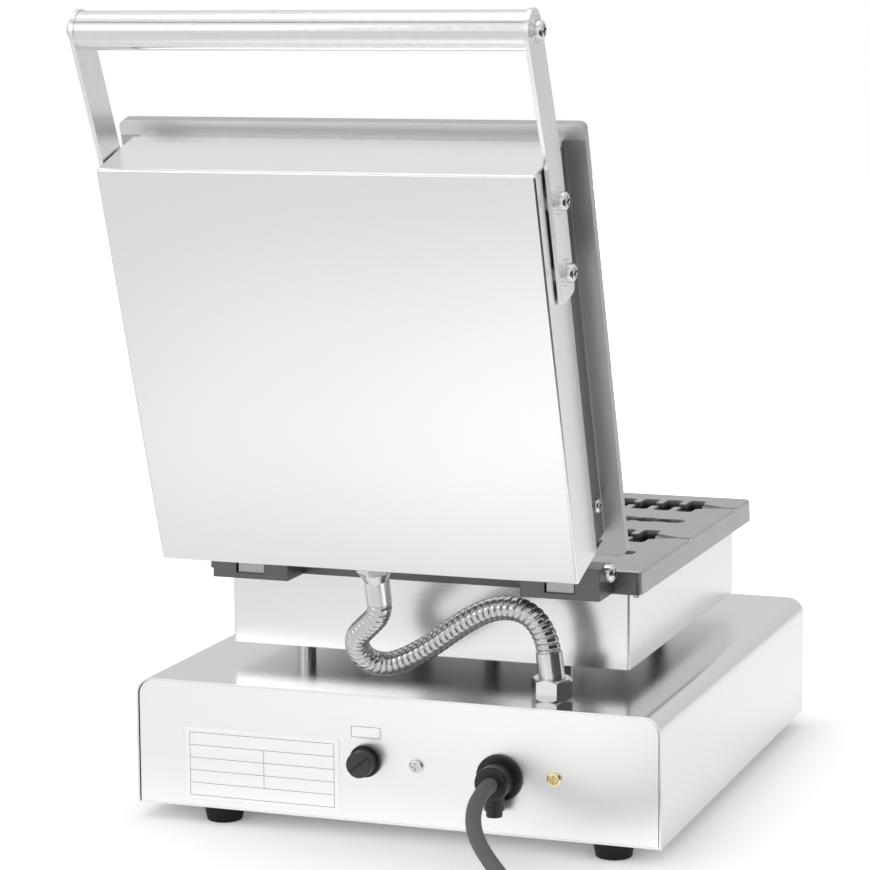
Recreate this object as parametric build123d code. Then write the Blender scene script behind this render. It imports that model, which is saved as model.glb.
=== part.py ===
from build123d import *
import math
import os

os.makedirs("parts", exist_ok=True)

# Waffle on a stick maker, millimetres, +Z up, the user's front faces -Y.
# Places are counted from the middle of the base footprint on the worktop. The lid is drawn closed and
# is turned back about its hinge when it is written, because the object is stored with its lid open.

# Sheet metal and fasteners
SHEET = 1.2
SEAM_GAP = 0.6
FIT_GAP = 0.3
HOLE_CLEARANCE = 0.1
RUNNING_CLEARANCE = 0.05
SCREW_RADIUS = 2.5
PAN_HEAD_RADIUS = 4.5
PAN_HEAD_HEIGHT = 3.0

# Base housing
BASE_WIDTH = 340.0
BASE_DEPTH = 367.0
BASE_HEIGHT = 80.0
BASE_BEND_RADIUS = 11.0
BASE_FLANGE = 24.0
PANEL_RECESS = 0.8
FOOT_HEIGHT = 10.0
FOOT_TOP_RADIUS = 13.0
FOOT_BOTTOM_RADIUS = 11.0
FOOT_LEFT_INSET = 33.0
FOOT_RIGHT_INSET = 53.0
FOOT_END_INSET = 14.0
FOOT_SCREW_HEAD_RADIUS = 4.5
FOOT_SCREW_DEPTH = 5.0
VENT_LENGTH = 60.0
VENT_WIDTH = 5.0
VENT_PITCH = 14.0
VENT_COUNT = 9

# Heater box on its standoffs
STANDOFF_HEIGHT = 11.8
STANDOFF_RADIUS = 6.0
STANDOFF_SIDE_INSET = 45.5
STANDOFF_REAR_INSET = 12.0
STANDOFF_FRONT_INSET = 28.0
WIRING_TUBE_RADIUS = 5.0
WIRING_TUBE_BORE = 3.6
BOX_WIDTH = 263.0
BOX_DEPTH = 253.0
BOX_HEIGHT = 49.7
BOX_SET_FORWARD = 7.5
BOX_CORNER_RADIUS = 2.0

# Cast mould plates
PLATE_SIDE_LIP = 10.5
PLATE_REAR_LIP = 12.5
PLATE_FRONT_LIP = 6.5
PLATE_CORNER_RADIUS = 4.0
PLATE_EDGE_ROUND = 2.0
RIM_SCREW_RADIUS = 2.0
RIM_SCREW_LENGTH = 8.0
RIM_SCREW_SHOWS = 2.5
RIM_SCREW_EDGE = 4.0
RIM_SCREW_REAR_INSET = 5.0
RIM_SCREW_FRONT_INSET = 74.0
LOWER_RIM = 14.5
LOWER_BOSS = 8.0
UPPER_RIM = 9.0
UPPER_BODY = 16.0
UPPER_WALL_TOP = 36.0
UPPER_WALL = 6.0
UPPER_THREAD = 6.0
CLOSED_GAP = 1.0

# Fir-tree moulds
MOULD_ROWS = 4
MOULD_ROW_SPARE = 10.0
MOULD_ROWS_FORWARD = 9.0
MOULD_DEPTH = 8.5
MOULD_DRAFT = 8.0
TREE_END_INSET = 14.0
TREE_OFFSET = -4.0
TIER_PITCH = 16.0
TIER_LENGTH = 11.5
TIER_CORNER = 3.5
TIP_LENGTH = 19.0
TIP_HALF_WIDTH = 7.0
FOOT_HALF_WIDTH = 22.5
TRUNK_HALF_WIDTH = 6.0
TRUNK_DEPTH = 4.5
NECK_DEPTH = 1.5
NECK_LENGTH = 14.0
STICK_RADIUS = 2.3

# Hinge
HINGE_RISE = 1.5
HINGE_BEHIND_PLATE = 17.5
HINGE_PIN_RADIUS = 3.0
HINGE_HEAD_RADIUS = 5.6
HINGE_HEAD_HEIGHT = 6.0
OPEN_ANGLE = 108.5
LUG_SIDE_INSET = 31.0
LUG_WIDTH = 50.0
LUG_REACH = 30.5
LUG_DROP = 13.5
LUG_RISE = 6.0
LUG_FRONT = 7.5
SLOT_WIDTH = 19.0
SLOT_FLOOR = 3.5
EAR_SIDE_GAP = 0.8
EAR_RADIUS = 8.5
TOE_GAP = 0.05
TOE_REAR_INSET = 1.5
TOE_LENGTH = 9.5
TOE_HEIGHT = 10.0

# Lid cover and handle
COVER_HEIGHT = 68.5
COVER_SIDE_EDGE = 30.0
COVER_END_EDGE = 17.5
COVER_CORNER_RADIUS = 2.0
SIDE_SCREW_UP = 20.0
SIDE_SCREW_FROM_HINGE = 56.5
ARM_WIDTH = 24.0
ARM_THICKNESS = 2.5
ARM_SPACER = 1.0
ARM_UP = 43.2
ARM_OVERLAP = 83.5
ARM_BEND_INSET = 1.5
ARM_CORNER = 4.0
ARM_SCREW_INSETS = (67.5, 24.5)
GRIP_REACH = 77.5
GRIP_UP = 53.0
GRIP_RADIUS = 11.0
GRIP_WALL = 1.5
GRIP_PLUG = 10.0
WASHER_RADIUS = 7.8
WASHER_THICKNESS = 1.3

# Heaters and insulation
HEATER_RADIUS = 4.0
HEATER_SIDE_INSET = 31.5
HEATER_END_INSET = 41.5
HEATER_LEAD_X = 12.0
HEATER_LEAD_END = 25.0
HEATER_BEND = 22.0
CLAMP_END_INSET = 35.0
CLAMP_BOLT_INSET = 25.0
CLAMP_WIDTH = 18.0
CLAMP_THICKNESS = 2.0
CLAMP_FOOT = 6.0
CLAMP_OVERHANG = 12.0
INSULATION_HEIGHT = 25.0
UPPER_INSULATION_HEIGHT = 30.0
INSULATION_SIDE_GAP = 4.0
INSULATION_HOLE = 24.0
BOLT_HEAD_HEIGHT = 3.5
NUT_HEIGHT = 4.0
NUT_FLATS = 8.0

# Rear panel fittings, places counted from the middle of the panel and from the foot of the base
RESET_X = 16.5
RESET_Z = 39.0
RESET_FLANGE_RADIUS = 10.0
RESET_FLANGE = 3.0
RESET_THREAD_RADIUS = 6.0
RESET_NECK = 6.0
RESET_PIN_RADIUS = 2.0
RESET_PIN_TRAVEL = 2.0
RESET_CAP_RADIUS = 8.0
RESET_CAP_LENGTH = 11.0
RESET_SLOT_WIDTH = 1.6
RESET_SLOT_DEPTH = 1.2
LIMIT_RADIUS = 12.0
LIMIT_LENGTH = 22.0
PANEL_SCREW_X = -16.3
PANEL_SCREW_Z = 38.1
EARTH_X = -103.9
EARTH_Z = 37.5
GLAND_X = -69.5
GLAND_Z = 35.5
GLAND_FLANGE_RADIUS = 14.5
GLAND_FLANGE = 3.0
GLAND_BODY_RADIUS = 10.5
GLAND_BODY = 15.0
GLAND_SOCKET = 5.0
GLAND_CLAMP_RADIUS = 6.2
GLAND_CLAMP_DROP = 17.0
GLAND_CLAMP_FORWARD = 7.5
GLAND_THREAD_RADIUS = 8.0
GLAND_THREAD = 12.0
GLAND_NUT_FLATS = 22.0
GLAND_NUT = 5.0
LABEL_WIDTH = 103.5
LABEL_HEIGHT = 45.0
LABEL_X = 85.8
LABEL_Z = 27.5
LABEL_THICKNESS = 0.3
RESET_LABEL_WIDTH = 20.0
RESET_LABEL_HEIGHT = 8.0
RESET_LABEL_RISE = 17.5

# Front controls
KNOB_SPREAD = 180.0
CONTROL_Z = 41.0
KNOB_RADIUS = 19.0
KNOB_LENGTH = 19.0
KNOB_SKIRT_RADIUS = 21.0
KNOB_SKIRT = 3.0
KNOB_FLUTES = 18
KNOB_FLUTE_RADIUS = 2.4
KNOB_STANDOFF = 1.0
SHAFT_RADIUS = 3.0
SHAFT_FLAT = 1.0
SHAFT_IN_KNOB = 13.0
SHAFT_IN_BODY = 10.0
THERMOSTAT_SIZE = (42.0, 34.0, 38.0)
TIMER_SIZE = (46.0, 40.0, 46.0)
LAMP_SPREAD = 44.0
LAMP_RADIUS = 5.0
LAMP_FLANGE_RADIUS = 7.0
LAMP_LENGTH = 22.0
LAMP_DOME = 5.0
CONTROL_PLATE_WIDTH = 268.0
CONTROL_PLATE_HEIGHT = 62.0
CONTROL_PLATE_THICKNESS = 0.5

# Inside the base
TERMINAL_WIDTH = 60.0
TERMINAL_DEPTH = 22.0
TERMINAL_HEIGHT = 18.0
TERMINAL_REAR_INSET = 66.5
TERMINAL_PITCH = 15.0
TERMINAL_WELL = 3.2
TERMINAL_WELL_DEPTH = 9.0
TERMINAL_ROW_INSET = 5.0
LEAD_RADIUS = 3.0
THIN_LEAD_RADIUS = 1.9
LEAD_BEND = 9.0
LEAD_OFFSET = 1.4
SUPPLY_LEAD_RUN = 25.0
HEATER_LEAD_DROP = 26.8
LID_LEAD_DROP = 22.8
LID_LEAD_FALL = 2.0
CAPILLARY_RADIUS = 0.9
CAPILLARY_OFFSET = 2.4
CAPILLARY_RUN = 20.0
CAPILLARY_DROP = 12.0
CAPILLARY_END_RUN = 30.0
BULB_RADIUS = 2.9
BULB_LENGTH = 60.0

# Flexible conduit between the base and the lid
CONDUIT_X = -93.9
CONDUIT_Y = 156.0
CONDUIT_NUT_FLATS = 22.6
CONDUIT_NUT_HEIGHT = 13.0
CONDUIT_NUT_CHAMFER = 1.7
CONDUIT_LEAN = 7.5
LOWER_SLEEVE = 15.7
LOWER_SLEEVE_RADIUS = 8.1
UPPER_NUT_FLATS = 19.0
UPPER_NUT_HEIGHT = 7.5
UPPER_TAPER = 6.5
UPPER_TAPER_RADIUS = 10.4
UPPER_SLEEVE = 15.5
UPPER_SLEEVE_RADIUS = 7.7
CONDUIT_LID_X = 1.2
CONDUIT_LID_UP = 51.7
HOSE_RADIUS = 7.7
HOSE_GROOVE = 0.75
HOSE_BORE = 5.4
HOSE_RIB_PITCH = 4.0
HOSE_LOFT_RIBS = 4
HOSE_START_RUN = 10.0
HOSE_END_RUN = 8.0
HOSE_ROUTE = [
    (-80.2, 158.5, 143.1),
    (-60.9, 158.5, 145.1),
    (-41.0, 160.0, 135.7),
    (-14.4, 162.5, 115.2),
    (8.6, 165.5, 104.3),
    (21.6, 174.0, 110.3),
    (23.1, 183.0, 124.6),
    (11.7, 189.8, 134.5),
]

# Mains cord, its route to the coil, the coil and the plug
CORD_RADIUS = 4.75
CORD_ROUTE = [
    (-69.5, 217.4, 45.5),
    (-70.3, 237.0, 36.1),
    (-79.5, 252.1, 23.6),
    (-105.6, 269.9, 5.2),
    (-129.6, 298.4, 4.8),
    (-146.0, 344.7, 4.8),
]
COIL_CENTRE = (-207.0, 372.0)
COIL_HAND = -1
COIL_RADIUS = 61.0
COIL_PITCH = 10.0
COIL_HALF_TURNS = 4
COIL_LAYER_RISE = 10.0
CORD_LIFT = 0.05
TAIL_RUN = 20.0
PLUG_RADIUS = 18.5
PLUG_BODY = 34.0
PLUG_NECK = 24.0
PLUG_NECK_RADIUS = 8.0
PLUG_PIN_RADIUS = 2.4
PLUG_PIN_LENGTH = 19.0
PLUG_PIN_SPREAD = 19.0

# Levels and places worked out from the sizes above
BASE_BOTTOM = FOOT_HEIGHT
BASE_TOP = FOOT_HEIGHT + BASE_HEIGHT
BOX_BOTTOM = BASE_TOP + STANDOFF_HEIGHT
BOX_TOP = BOX_BOTTOM + BOX_HEIGHT
PLATE_TOP = BOX_TOP + LOWER_RIM
BOSS_BOTTOM = BOX_TOP - LOWER_BOSS
UPPER_FACE = PLATE_TOP + CLOSED_GAP
HINGE_Z = PLATE_TOP + HINGE_RISE
BOX_Y = -BOX_SET_FORWARD
PLATE_WIDTH = BOX_WIDTH + 2 * PLATE_SIDE_LIP
PLATE_DEPTH = BOX_DEPTH + PLATE_REAR_LIP + PLATE_FRONT_LIP
PLATE_Y = BOX_Y + (PLATE_REAR_LIP - PLATE_FRONT_LIP) / 2
PLATE_REAR = PLATE_Y + PLATE_DEPTH / 2
RIM_SCREW_SPREAD = PLATE_DEPTH - RIM_SCREW_REAR_INSET - RIM_SCREW_FRONT_INSET
MOULD_ROW_PITCH = PLATE_DEPTH / MOULD_ROWS - MOULD_ROW_SPARE
TREE_LENGTH = PLATE_WIDTH - 2 * TREE_END_INSET
LUG_SPREAD = BOX_WIDTH - 2 * LUG_SIDE_INSET
HINGE_Y = PLATE_REAR + HINGE_BEHIND_PLATE
COVER_FRONT = HINGE_Y - BOX_Y + BOX_DEPTH / 2
ARM_START = COVER_FRONT - ARM_OVERLAP
ARM_BEND = COVER_FRONT - ARM_BEND_INSET
ARM_SCREWS = [COVER_FRONT - inset for inset in ARM_SCREW_INSETS]
GRIP_FROM_HINGE = COVER_FRONT + GRIP_REACH
STANDOFF_SPREAD_X = BOX_WIDTH - 2 * STANDOFF_SIDE_INSET
HEATER_LOOP_X = BOX_WIDTH / 2 - HEATER_SIDE_INSET
HEATER_LOOP_Y = BOX_DEPTH / 2 - HEATER_END_INSET
CLAMP_SPREAD_X = 2 * (HEATER_LOOP_X - CLAMP_BOLT_INSET)
CLAMP_SPREAD_Y = 2 * (HEATER_LOOP_Y - CLAMP_END_INSET)
COVER_TOP = UPPER_FACE + COVER_HEIGHT
BASE_REAR = BASE_DEPTH / 2
PANEL_OUTER = BASE_REAR - PANEL_RECESS
PANEL_INNER = PANEL_OUTER - SHEET
ARM_INNER = BOX_WIDTH / 2 + ARM_SPACER
ARM_OUTER = ARM_INNER + ARM_THICKNESS
STANDOFF_PLACES = [
    (side * STANDOFF_SPREAD_X / 2, y)
    for side in (-1, 1)
    for y in (
        BOX_Y + BOX_DEPTH / 2 - STANDOFF_REAR_INSET,
        BOX_Y - BOX_DEPTH / 2 + STANDOFF_FRONT_INSET,
    )
]
CLAMP_BOLT_PLACES = [
    (x * CLAMP_SPREAD_X / 2, BOX_Y + y * CLAMP_SPREAD_Y / 2)
    for x in (-1, 1)
    for y in (-1, 1)
]
RIM_SCREW_PLACES = [
    (side * (PLATE_WIDTH / 2 - RIM_SCREW_EDGE), PLATE_REAR - RIM_SCREW_REAR_INSET - step * RIM_SCREW_SPREAD)
    for side in (-1, 1)
    for step in (0, 1)
]
FOOT_PLACES = [
    (x, y * (BASE_DEPTH / 2 - FOOT_END_INSET))
    for x in (
        -BASE_WIDTH / 2 + FOOT_LEFT_INSET,
        BASE_WIDTH / 2 - FOOT_RIGHT_INSET,
    )
    for y in (-1, 1)
]


def rod(radius, start, end):
    """Round bar from one point to another along a straight line."""
    run = Vector(*end) - Vector(*start)
    plane = Plane(origin=start, z_dir=run)
    return extrude(plane * Circle(radius), amount=run.length)


def hex_bar(flats, start, end):
    """Hexagonal bar, a flat to flat width, from one point to another."""
    run = Vector(*end) - Vector(*start)
    plane = Plane(origin=start, z_dir=run)
    outline = RegularPolygon(flats / 2, 6, major_radius=False)
    return extrude(plane * outline, amount=run.length)


def upright_block(width, depth, low, high, corner, middle=(0.0, 0.0)):
    """Rectangular block with rounded upright edges between two levels."""
    outline = RectangleRounded(width, depth, corner)
    return Pos(middle[0], middle[1], low) * extrude(outline, amount=high - low)


def box_between(low, high):
    """Plain block from its lowest to its highest corner."""
    size = [b - a for a, b in zip(low, high)]
    middle = [(a + b) / 2 for a, b in zip(low, high)]
    return Pos(*middle) * Box(*size)


def profile_along_x(points, start, end):
    """Solid whose outline in Y and Z runs from one X to another."""
    wire = Polyline([(start, y, z) for y, z in points], close=True)
    return extrude(make_face(wire), amount=end - start, dir=(1, 0, 0))


def smooth_route(points):
    """Straight runs joined by the largest tangent arcs that the runs allow, and the arcs' radii."""
    corners = [Vector(*p) for p in points]
    radii = []
    for before, here, after in zip(corners, corners[1:], corners[2:]):
        turn = math.radians((here - before).get_angle(after - here))
        shorter = min((here - before).length, (after - here).length)
        radii.append(0.45 * shorter / math.tan(turn / 2))
    return FilletPolyline(*points, radius=radii), radii


def tube_along(path, radius):
    """Solid round tube swept along a route."""
    start = Plane(origin=path @ 0, z_dir=path % 0)
    return sweep(start * Circle(radius), path=path)


def lid_point(from_hinge, up):
    """Y and Z of a lid point, given behind the hinge line and above the upper plate's face."""
    return HINGE_Y - from_hinge, UPPER_FACE + up


def opened(shape):
    """Turn a closed lid piece back to its rest on the hinge stop."""
    to_axis = Pos(0, HINGE_Y, HINGE_Z)
    return to_axis * Rot(-OPEN_ANGLE, 0, 0) * to_axis.inverse() * shape


def closed_again(shape):
    """Turn a piece drawn at the open lid's place to the closed one."""
    to_axis = Pos(0, HINGE_Y, HINGE_Z)
    return to_axis * Rot(OPEN_ANGLE, 0, 0) * to_axis.inverse() * shape


def pan_screw(head_radius, head_height, shank_radius, shank_length):
    """Pan head screw along +Z: the head stands above zero, the shank goes below."""
    head = extrude(Circle(head_radius), amount=head_height)
    head = fillet(head.edges().sort_by(Axis.Z)[-1], head_height * 0.6)
    slot = Box(head_radius * 1.1, head_radius * 0.3, head_height * 1.1)
    recess = Pos(0, 0, head_height) * (slot + Rot(0, 0, 90) * slot)
    shank = Pos(0, 0, -shank_length) * extrude(Circle(shank_radius), amount=shank_length)
    return head - recess + shank


def face_out(shape, place, direction):
    """Put a piece that points along +Z at a place so that it points along a direction."""
    return Plane(origin=place, z_dir=direction).location * shape


# Base


def base_outline(inset, side_gap=0.0):
    """Outline in X and Z of the folded housing, drawn inside its outer face."""
    half = BASE_WIDTH / 2 - inset - side_gap
    top = BASE_TOP - inset
    radius = BASE_BEND_RADIUS - inset
    left = [(-half, BASE_BOTTOM), (-half, top - radius)]
    right = [(half, top - radius), (half, BASE_BOTTOM)]
    corner = radius * math.sqrt(0.5)
    lines = Line(left[0], left[1])
    lines += ThreePointArc(left[1], (-half + radius - corner, top - radius + corner), (-half + radius, top))
    lines += Line((-half + radius, top), (half - radius, top))
    lines += ThreePointArc((half - radius, top), (half - radius + corner, top - radius + corner), right[0])
    lines += Line(right[0], right[1])
    lines += Line(right[1], left[0])
    return make_face(lines)


def across_base(outline, front, rear):
    """Solid whose outline in X and Z runs from a front to a rear Y."""
    plane = Plane(origin=(0, rear, 0), x_dir=(1, 0, 0), z_dir=(0, -1, 0))
    return extrude(plane * outline, amount=rear - front)


def top_holes():
    """Holes in the base top for the standoff bolts, the wiring tube and the conduit."""
    low = BASE_TOP - 2 * SHEET
    high = BASE_TOP + SHEET
    holes = [rod(SCREW_RADIUS + HOLE_CLEARANCE, (x, y, low), (x, y, high)) for x, y in STANDOFF_PLACES]
    holes.append(rod(WIRING_TUBE_BORE, (0, BOX_Y, low), (0, BOX_Y, high)))
    holes.append(rod(HOSE_BORE, (CONDUIT_X, CONDUIT_Y, low), (CONDUIT_X, CONDUIT_Y, high)))
    return holes


def base_housing():
    """Folded sheet: the top, both sides and a turned-in flange along each side."""
    shell = across_base(base_outline(0), -BASE_REAR, BASE_REAR)
    inside = across_base(base_outline(SHEET), -BASE_REAR - 1, BASE_REAR + 1)
    shell -= Pos(0, 0, -SHEET) * inside + inside
    flanges = []
    for side in (-1, 1):
        outer = side * (BASE_WIDTH / 2 - SHEET)
        inner = outer - side * BASE_FLANGE
        flange = box_between(
            (min(outer, inner), PANEL_INNER * -1 + SHEET, BASE_BOTTOM + SHEET),
            (max(outer, inner), PANEL_INNER - SHEET, BASE_BOTTOM + 2 * SHEET),
        )
        flanges.append(flange)
    return shell + flanges - top_holes()


def end_panel(rear, holes):
    """Front or rear panel: a plate inside the housing's end, with a foot turned in along the bottom."""
    side = 1 if rear else -1
    low, high = sorted((side * PANEL_INNER, side * PANEL_OUTER))
    plate = across_base(base_outline(SHEET, SEAM_GAP), low, high)
    under = BASE_BOTTOM + SHEET
    plate -= box_between((-BASE_WIDTH, low - 1, BASE_BOTTOM - 1), (BASE_WIDTH, high + 1, under))
    foot_low, foot_high = sorted((side * (PANEL_INNER - BASE_FLANGE), side * PANEL_INNER))
    half = BASE_WIDTH / 2 - SHEET - BASE_FLANGE - SEAM_GAP
    plate += box_between((-half, foot_low, under), (half, foot_high, under + SHEET))
    for x, z, radius in holes:
        plate -= rod(radius, (x, low - 1, BASE_BOTTOM + z), (x, high + 1, BASE_BOTTOM + z))
    for x, y in FOOT_PLACES:
        plate -= rod(SCREW_RADIUS + HOLE_CLEARANCE, (x, y, under - 1), (x, y, under + 2 * SHEET))
    return plate


def rear_panel():
    """Rear panel with the holes for the reset button, gland, earth screw and panel screw."""
    return end_panel(
        True,
        [
            (RESET_X, RESET_Z, RESET_THREAD_RADIUS + HOLE_CLEARANCE),
            (GLAND_X, GLAND_Z, GLAND_THREAD_RADIUS + HOLE_CLEARANCE),
            (EARTH_X, EARTH_Z, SCREW_RADIUS + HOLE_CLEARANCE),
            (PANEL_SCREW_X, PANEL_SCREW_Z, SCREW_RADIUS + HOLE_CLEARANCE),
        ],
    )


def control_holes():
    """X, Z and radius of each hole through the front panel."""
    knobs = [(side * KNOB_SPREAD / 2, CONTROL_Z, SHAFT_RADIUS + FIT_GAP) for side in (-1, 1)]
    lamps = [(side * LAMP_SPREAD / 2, CONTROL_Z, LAMP_RADIUS + HOLE_CLEARANCE) for side in (-1, 1)]
    return knobs + lamps


def control_plate():
    """Thin printed plate on the front panel, behind the knobs and lamps."""
    plate = RectangleRounded(CONTROL_PLATE_WIDTH, CONTROL_PLATE_HEIGHT, 3)
    plane = Plane(origin=(0, -PANEL_OUTER, BASE_BOTTOM + CONTROL_Z), x_dir=(1, 0, 0), z_dir=(0, -1, 0))
    plate = extrude(plane * plate, amount=CONTROL_PLATE_THICKNESS)
    for x, z, radius in control_holes():
        height = BASE_BOTTOM + z
        plate -= rod(radius, (x, -PANEL_OUTER - 2, height), (x, -PANEL_OUTER + 1, height))
    return plate


def bottom_plate():
    """Bottom sheet with two banks of vent slots and the foot screw holes."""
    half_x = BASE_WIDTH / 2 - SHEET - SEAM_GAP
    half_y = PANEL_OUTER
    plate = box_between((-half_x, -half_y, BASE_BOTTOM), (half_x, half_y, BASE_BOTTOM + SHEET))
    slots = []
    for side in (-1, 1):
        for step in range(VENT_COUNT):
            y = (step - (VENT_COUNT - 1) / 2) * VENT_PITCH
            slot = extrude(SlotOverall(VENT_LENGTH, VENT_WIDTH), amount=3 * SHEET)
            slots.append(Pos(side * VENT_LENGTH * 0.75, y, BASE_BOTTOM - SHEET) * slot)
    holes = [
        rod(SCREW_RADIUS + HOLE_CLEARANCE, (x, y, BASE_BOTTOM - 1), (x, y, BASE_BOTTOM + 2 * SHEET))
        for x, y in FOOT_PLACES
    ]
    return plate - slots - holes


def rubber_foot(x, y):
    """Tapered rubber foot with a sunk screw hole."""
    cone = Pos(x, y, FOOT_HEIGHT / 2) * Cone(FOOT_BOTTOM_RADIUS, FOOT_TOP_RADIUS, FOOT_HEIGHT)
    cone = fillet(cone.edges().sort_by(Axis.Z)[0], 1.0)
    cone -= rod(SCREW_RADIUS + HOLE_CLEARANCE, (x, y, -1), (x, y, FOOT_HEIGHT + 1))
    return cone - rod(FOOT_SCREW_HEAD_RADIUS + FIT_GAP, (x, y, -1), (x, y, FOOT_SCREW_DEPTH))


def foot_screw(x, y):
    """Foot screw: its head sits in the foot and its nut on the flange of an end panel."""
    head = rod(FOOT_SCREW_HEAD_RADIUS, (x, y, FOOT_SCREW_DEPTH - 2.5), (x, y, FOOT_SCREW_DEPTH))
    nut_low = BASE_BOTTOM + 2 * SHEET
    shank = rod(SCREW_RADIUS, (x, y, FOOT_SCREW_DEPTH), (x, y, nut_low + NUT_HEIGHT + 1))
    nut = hex_bar(NUT_FLATS, (x, y, nut_low), (x, y, nut_low + NUT_HEIGHT))
    return head + shank + nut


# Heater box


def standoff(x, y):
    """Round spacer between the base top and the heater box."""
    outer = rod(STANDOFF_RADIUS, (x, y, BASE_TOP), (x, y, BOX_BOTTOM))
    return outer - rod(SCREW_RADIUS + HOLE_CLEARANCE, (x, y, BASE_TOP - 1), (x, y, BOX_BOTTOM + 1))


def standoff_bolt(x, y):
    """Bolt through a standoff, headed under the base top and nutted inside the box."""
    low = BASE_TOP - SHEET
    head = rod(PAN_HEAD_RADIUS, (x, y, low - PAN_HEAD_HEIGHT), (x, y, low))
    nut_low = BOX_BOTTOM + SHEET
    shank = rod(SCREW_RADIUS, (x, y, low), (x, y, nut_low + NUT_HEIGHT + 1))
    nut = hex_bar(NUT_FLATS, (x, y, nut_low), (x, y, nut_low + NUT_HEIGHT))
    return head + shank + nut


def wiring_tube():
    """Middle tube that leads the wires from the base up into the heater box."""
    outer = rod(WIRING_TUBE_RADIUS, (0, BOX_Y, BASE_TOP), (0, BOX_Y, BOX_BOTTOM))
    return outer - rod(WIRING_TUBE_BORE, (0, BOX_Y, BASE_TOP - 1), (0, BOX_Y, BOX_BOTTOM + 1))


def lower_box():
    """Sheet pan under the lower plate, open at the top."""
    middle = (0, BOX_Y)
    pan = upright_block(BOX_WIDTH, BOX_DEPTH, BOX_BOTTOM, BOX_TOP, BOX_CORNER_RADIUS, middle)
    inside = upright_block(
        BOX_WIDTH - 2 * SHEET,
        BOX_DEPTH - 2 * SHEET,
        BOX_BOTTOM + SHEET,
        BOX_TOP + 1,
        BOX_CORNER_RADIUS - SHEET / 2,
        middle,
    )
    low, high = BOX_BOTTOM - 1, BOX_BOTTOM + 2 * SHEET
    radius = SCREW_RADIUS + HOLE_CLEARANCE
    holes = [rod(radius, (x, y, low), (x, y, high)) for x, y in STANDOFF_PLACES + CLAMP_BOLT_PLACES]
    holes.append(rod(WIRING_TUBE_BORE, (0, BOX_Y, low), (0, BOX_Y, high)))
    return pan - inside - holes


def tree_mould(tip_side, row_y):
    """Pockets of one fir-tree mould, its tip towards one side, cut down from the parting face at zero."""
    steps = round((TREE_LENGTH - TIP_LENGTH - NECK_LENGTH) / TIER_PITCH)
    tip_x = TREE_LENGTH / 2 + TREE_OFFSET
    pockets = []
    tip = RectangleRounded(TIP_LENGTH - 4, 2 * TIP_HALF_WIDTH, TIP_HALF_WIDTH - 1)
    pockets.append(Pos(tip_x - TIP_LENGTH / 2, 0, 0) * extrude(tip, amount=-MOULD_DEPTH, taper=MOULD_DRAFT))
    for step in range(steps):
        half = TIP_HALF_WIDTH + (FOOT_HALF_WIDTH - TIP_HALF_WIDTH) * (step + 1) / steps
        x = tip_x - TIP_LENGTH - (step + 0.5) * TIER_PITCH
        tier = RectangleRounded(TIER_LENGTH, 2 * half, TIER_CORNER)
        pockets.append(Pos(x, 0, 0) * extrude(tier, amount=-MOULD_DEPTH, taper=MOULD_DRAFT))
    foot_x = tip_x - TREE_LENGTH
    trunk_end = tip_x - TIP_LENGTH / 2
    trunk = box_between((foot_x + NECK_LENGTH, -TRUNK_HALF_WIDTH, -TRUNK_DEPTH), (trunk_end, TRUNK_HALF_WIDTH, 0))
    neck_points = [
        (foot_x + NECK_LENGTH + 2, FOOT_HALF_WIDTH / 2),
        (foot_x, STICK_RADIUS),
        (foot_x, -STICK_RADIUS),
        (foot_x + NECK_LENGTH + 2, -FOOT_HALF_WIDTH / 2),
    ]
    neck = extrude(make_face(Polyline(*neck_points, close=True)), amount=-NECK_DEPTH)
    stick = rod(STICK_RADIUS, (-PLATE_WIDTH, 0, 0), (foot_x + 1, 0, 0))
    turn = 0 if tip_side > 0 else 180
    return [Pos(0, row_y, 0) * Rot(0, 0, turn) * piece for piece in pockets + [trunk, neck, stick]]


def all_moulds():
    """The moulds of one plate, laid head to tail."""
    first = PLATE_Y - MOULD_ROWS_FORWARD - (MOULD_ROWS - 1) * MOULD_ROW_PITCH / 2
    cuts = []
    for row in range(MOULD_ROWS):
        tip_side = 1 if row % 2 == 0 else -1
        cuts += tree_mould(tip_side, first + row * MOULD_ROW_PITCH)
    return cuts


def plate_slab(rim):
    """Rim of a mould plate below a parting face at zero, wider at its foot."""
    outline = RectangleRounded(PLATE_WIDTH, PLATE_DEPTH, PLATE_CORNER_RADIUS)
    slab = extrude(outline, amount=-rim, taper=-2)
    return Pos(0, PLATE_Y, 0) * fillet(slab.faces().sort_by(Axis.Z)[-1].edges(), PLATE_EDGE_ROUND)


def hinge_lug(side):
    """Slotted lug behind the lower plate that carries the hinge bolt and stops the lid's ear."""
    middle = side * LUG_SPREAD / 2
    rear = PLATE_REAR + LUG_REACH
    outline = [
        (PLATE_REAR - 8, PLATE_TOP - LUG_DROP),
        (rear, PLATE_TOP - LUG_DROP),
        (rear, PLATE_TOP + LUG_RISE),
        (PLATE_REAR + LUG_FRONT, PLATE_TOP + LUG_RISE),
        (PLATE_REAR + LUG_FRONT / 2, PLATE_TOP - PLATE_EDGE_ROUND),
        (PLATE_REAR - 8, PLATE_TOP - PLATE_EDGE_ROUND),
    ]
    lug = profile_along_x(outline, middle - LUG_WIDTH / 2, middle + LUG_WIDTH / 2)
    slot = box_between(
        (middle - SLOT_WIDTH / 2, PLATE_REAR + 1, PLATE_TOP - LUG_DROP + SLOT_FLOOR),
        (middle + SLOT_WIDTH / 2, rear + 1, PLATE_TOP + LUG_RISE + 1),
    )
    radius = HINGE_PIN_RADIUS + RUNNING_CLEARANCE
    bore = rod(radius, (middle - LUG_WIDTH, HINGE_Y, HINGE_Z), (middle + LUG_WIDTH, HINGE_Y, HINGE_Z))
    return lug, slot, bore


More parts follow.
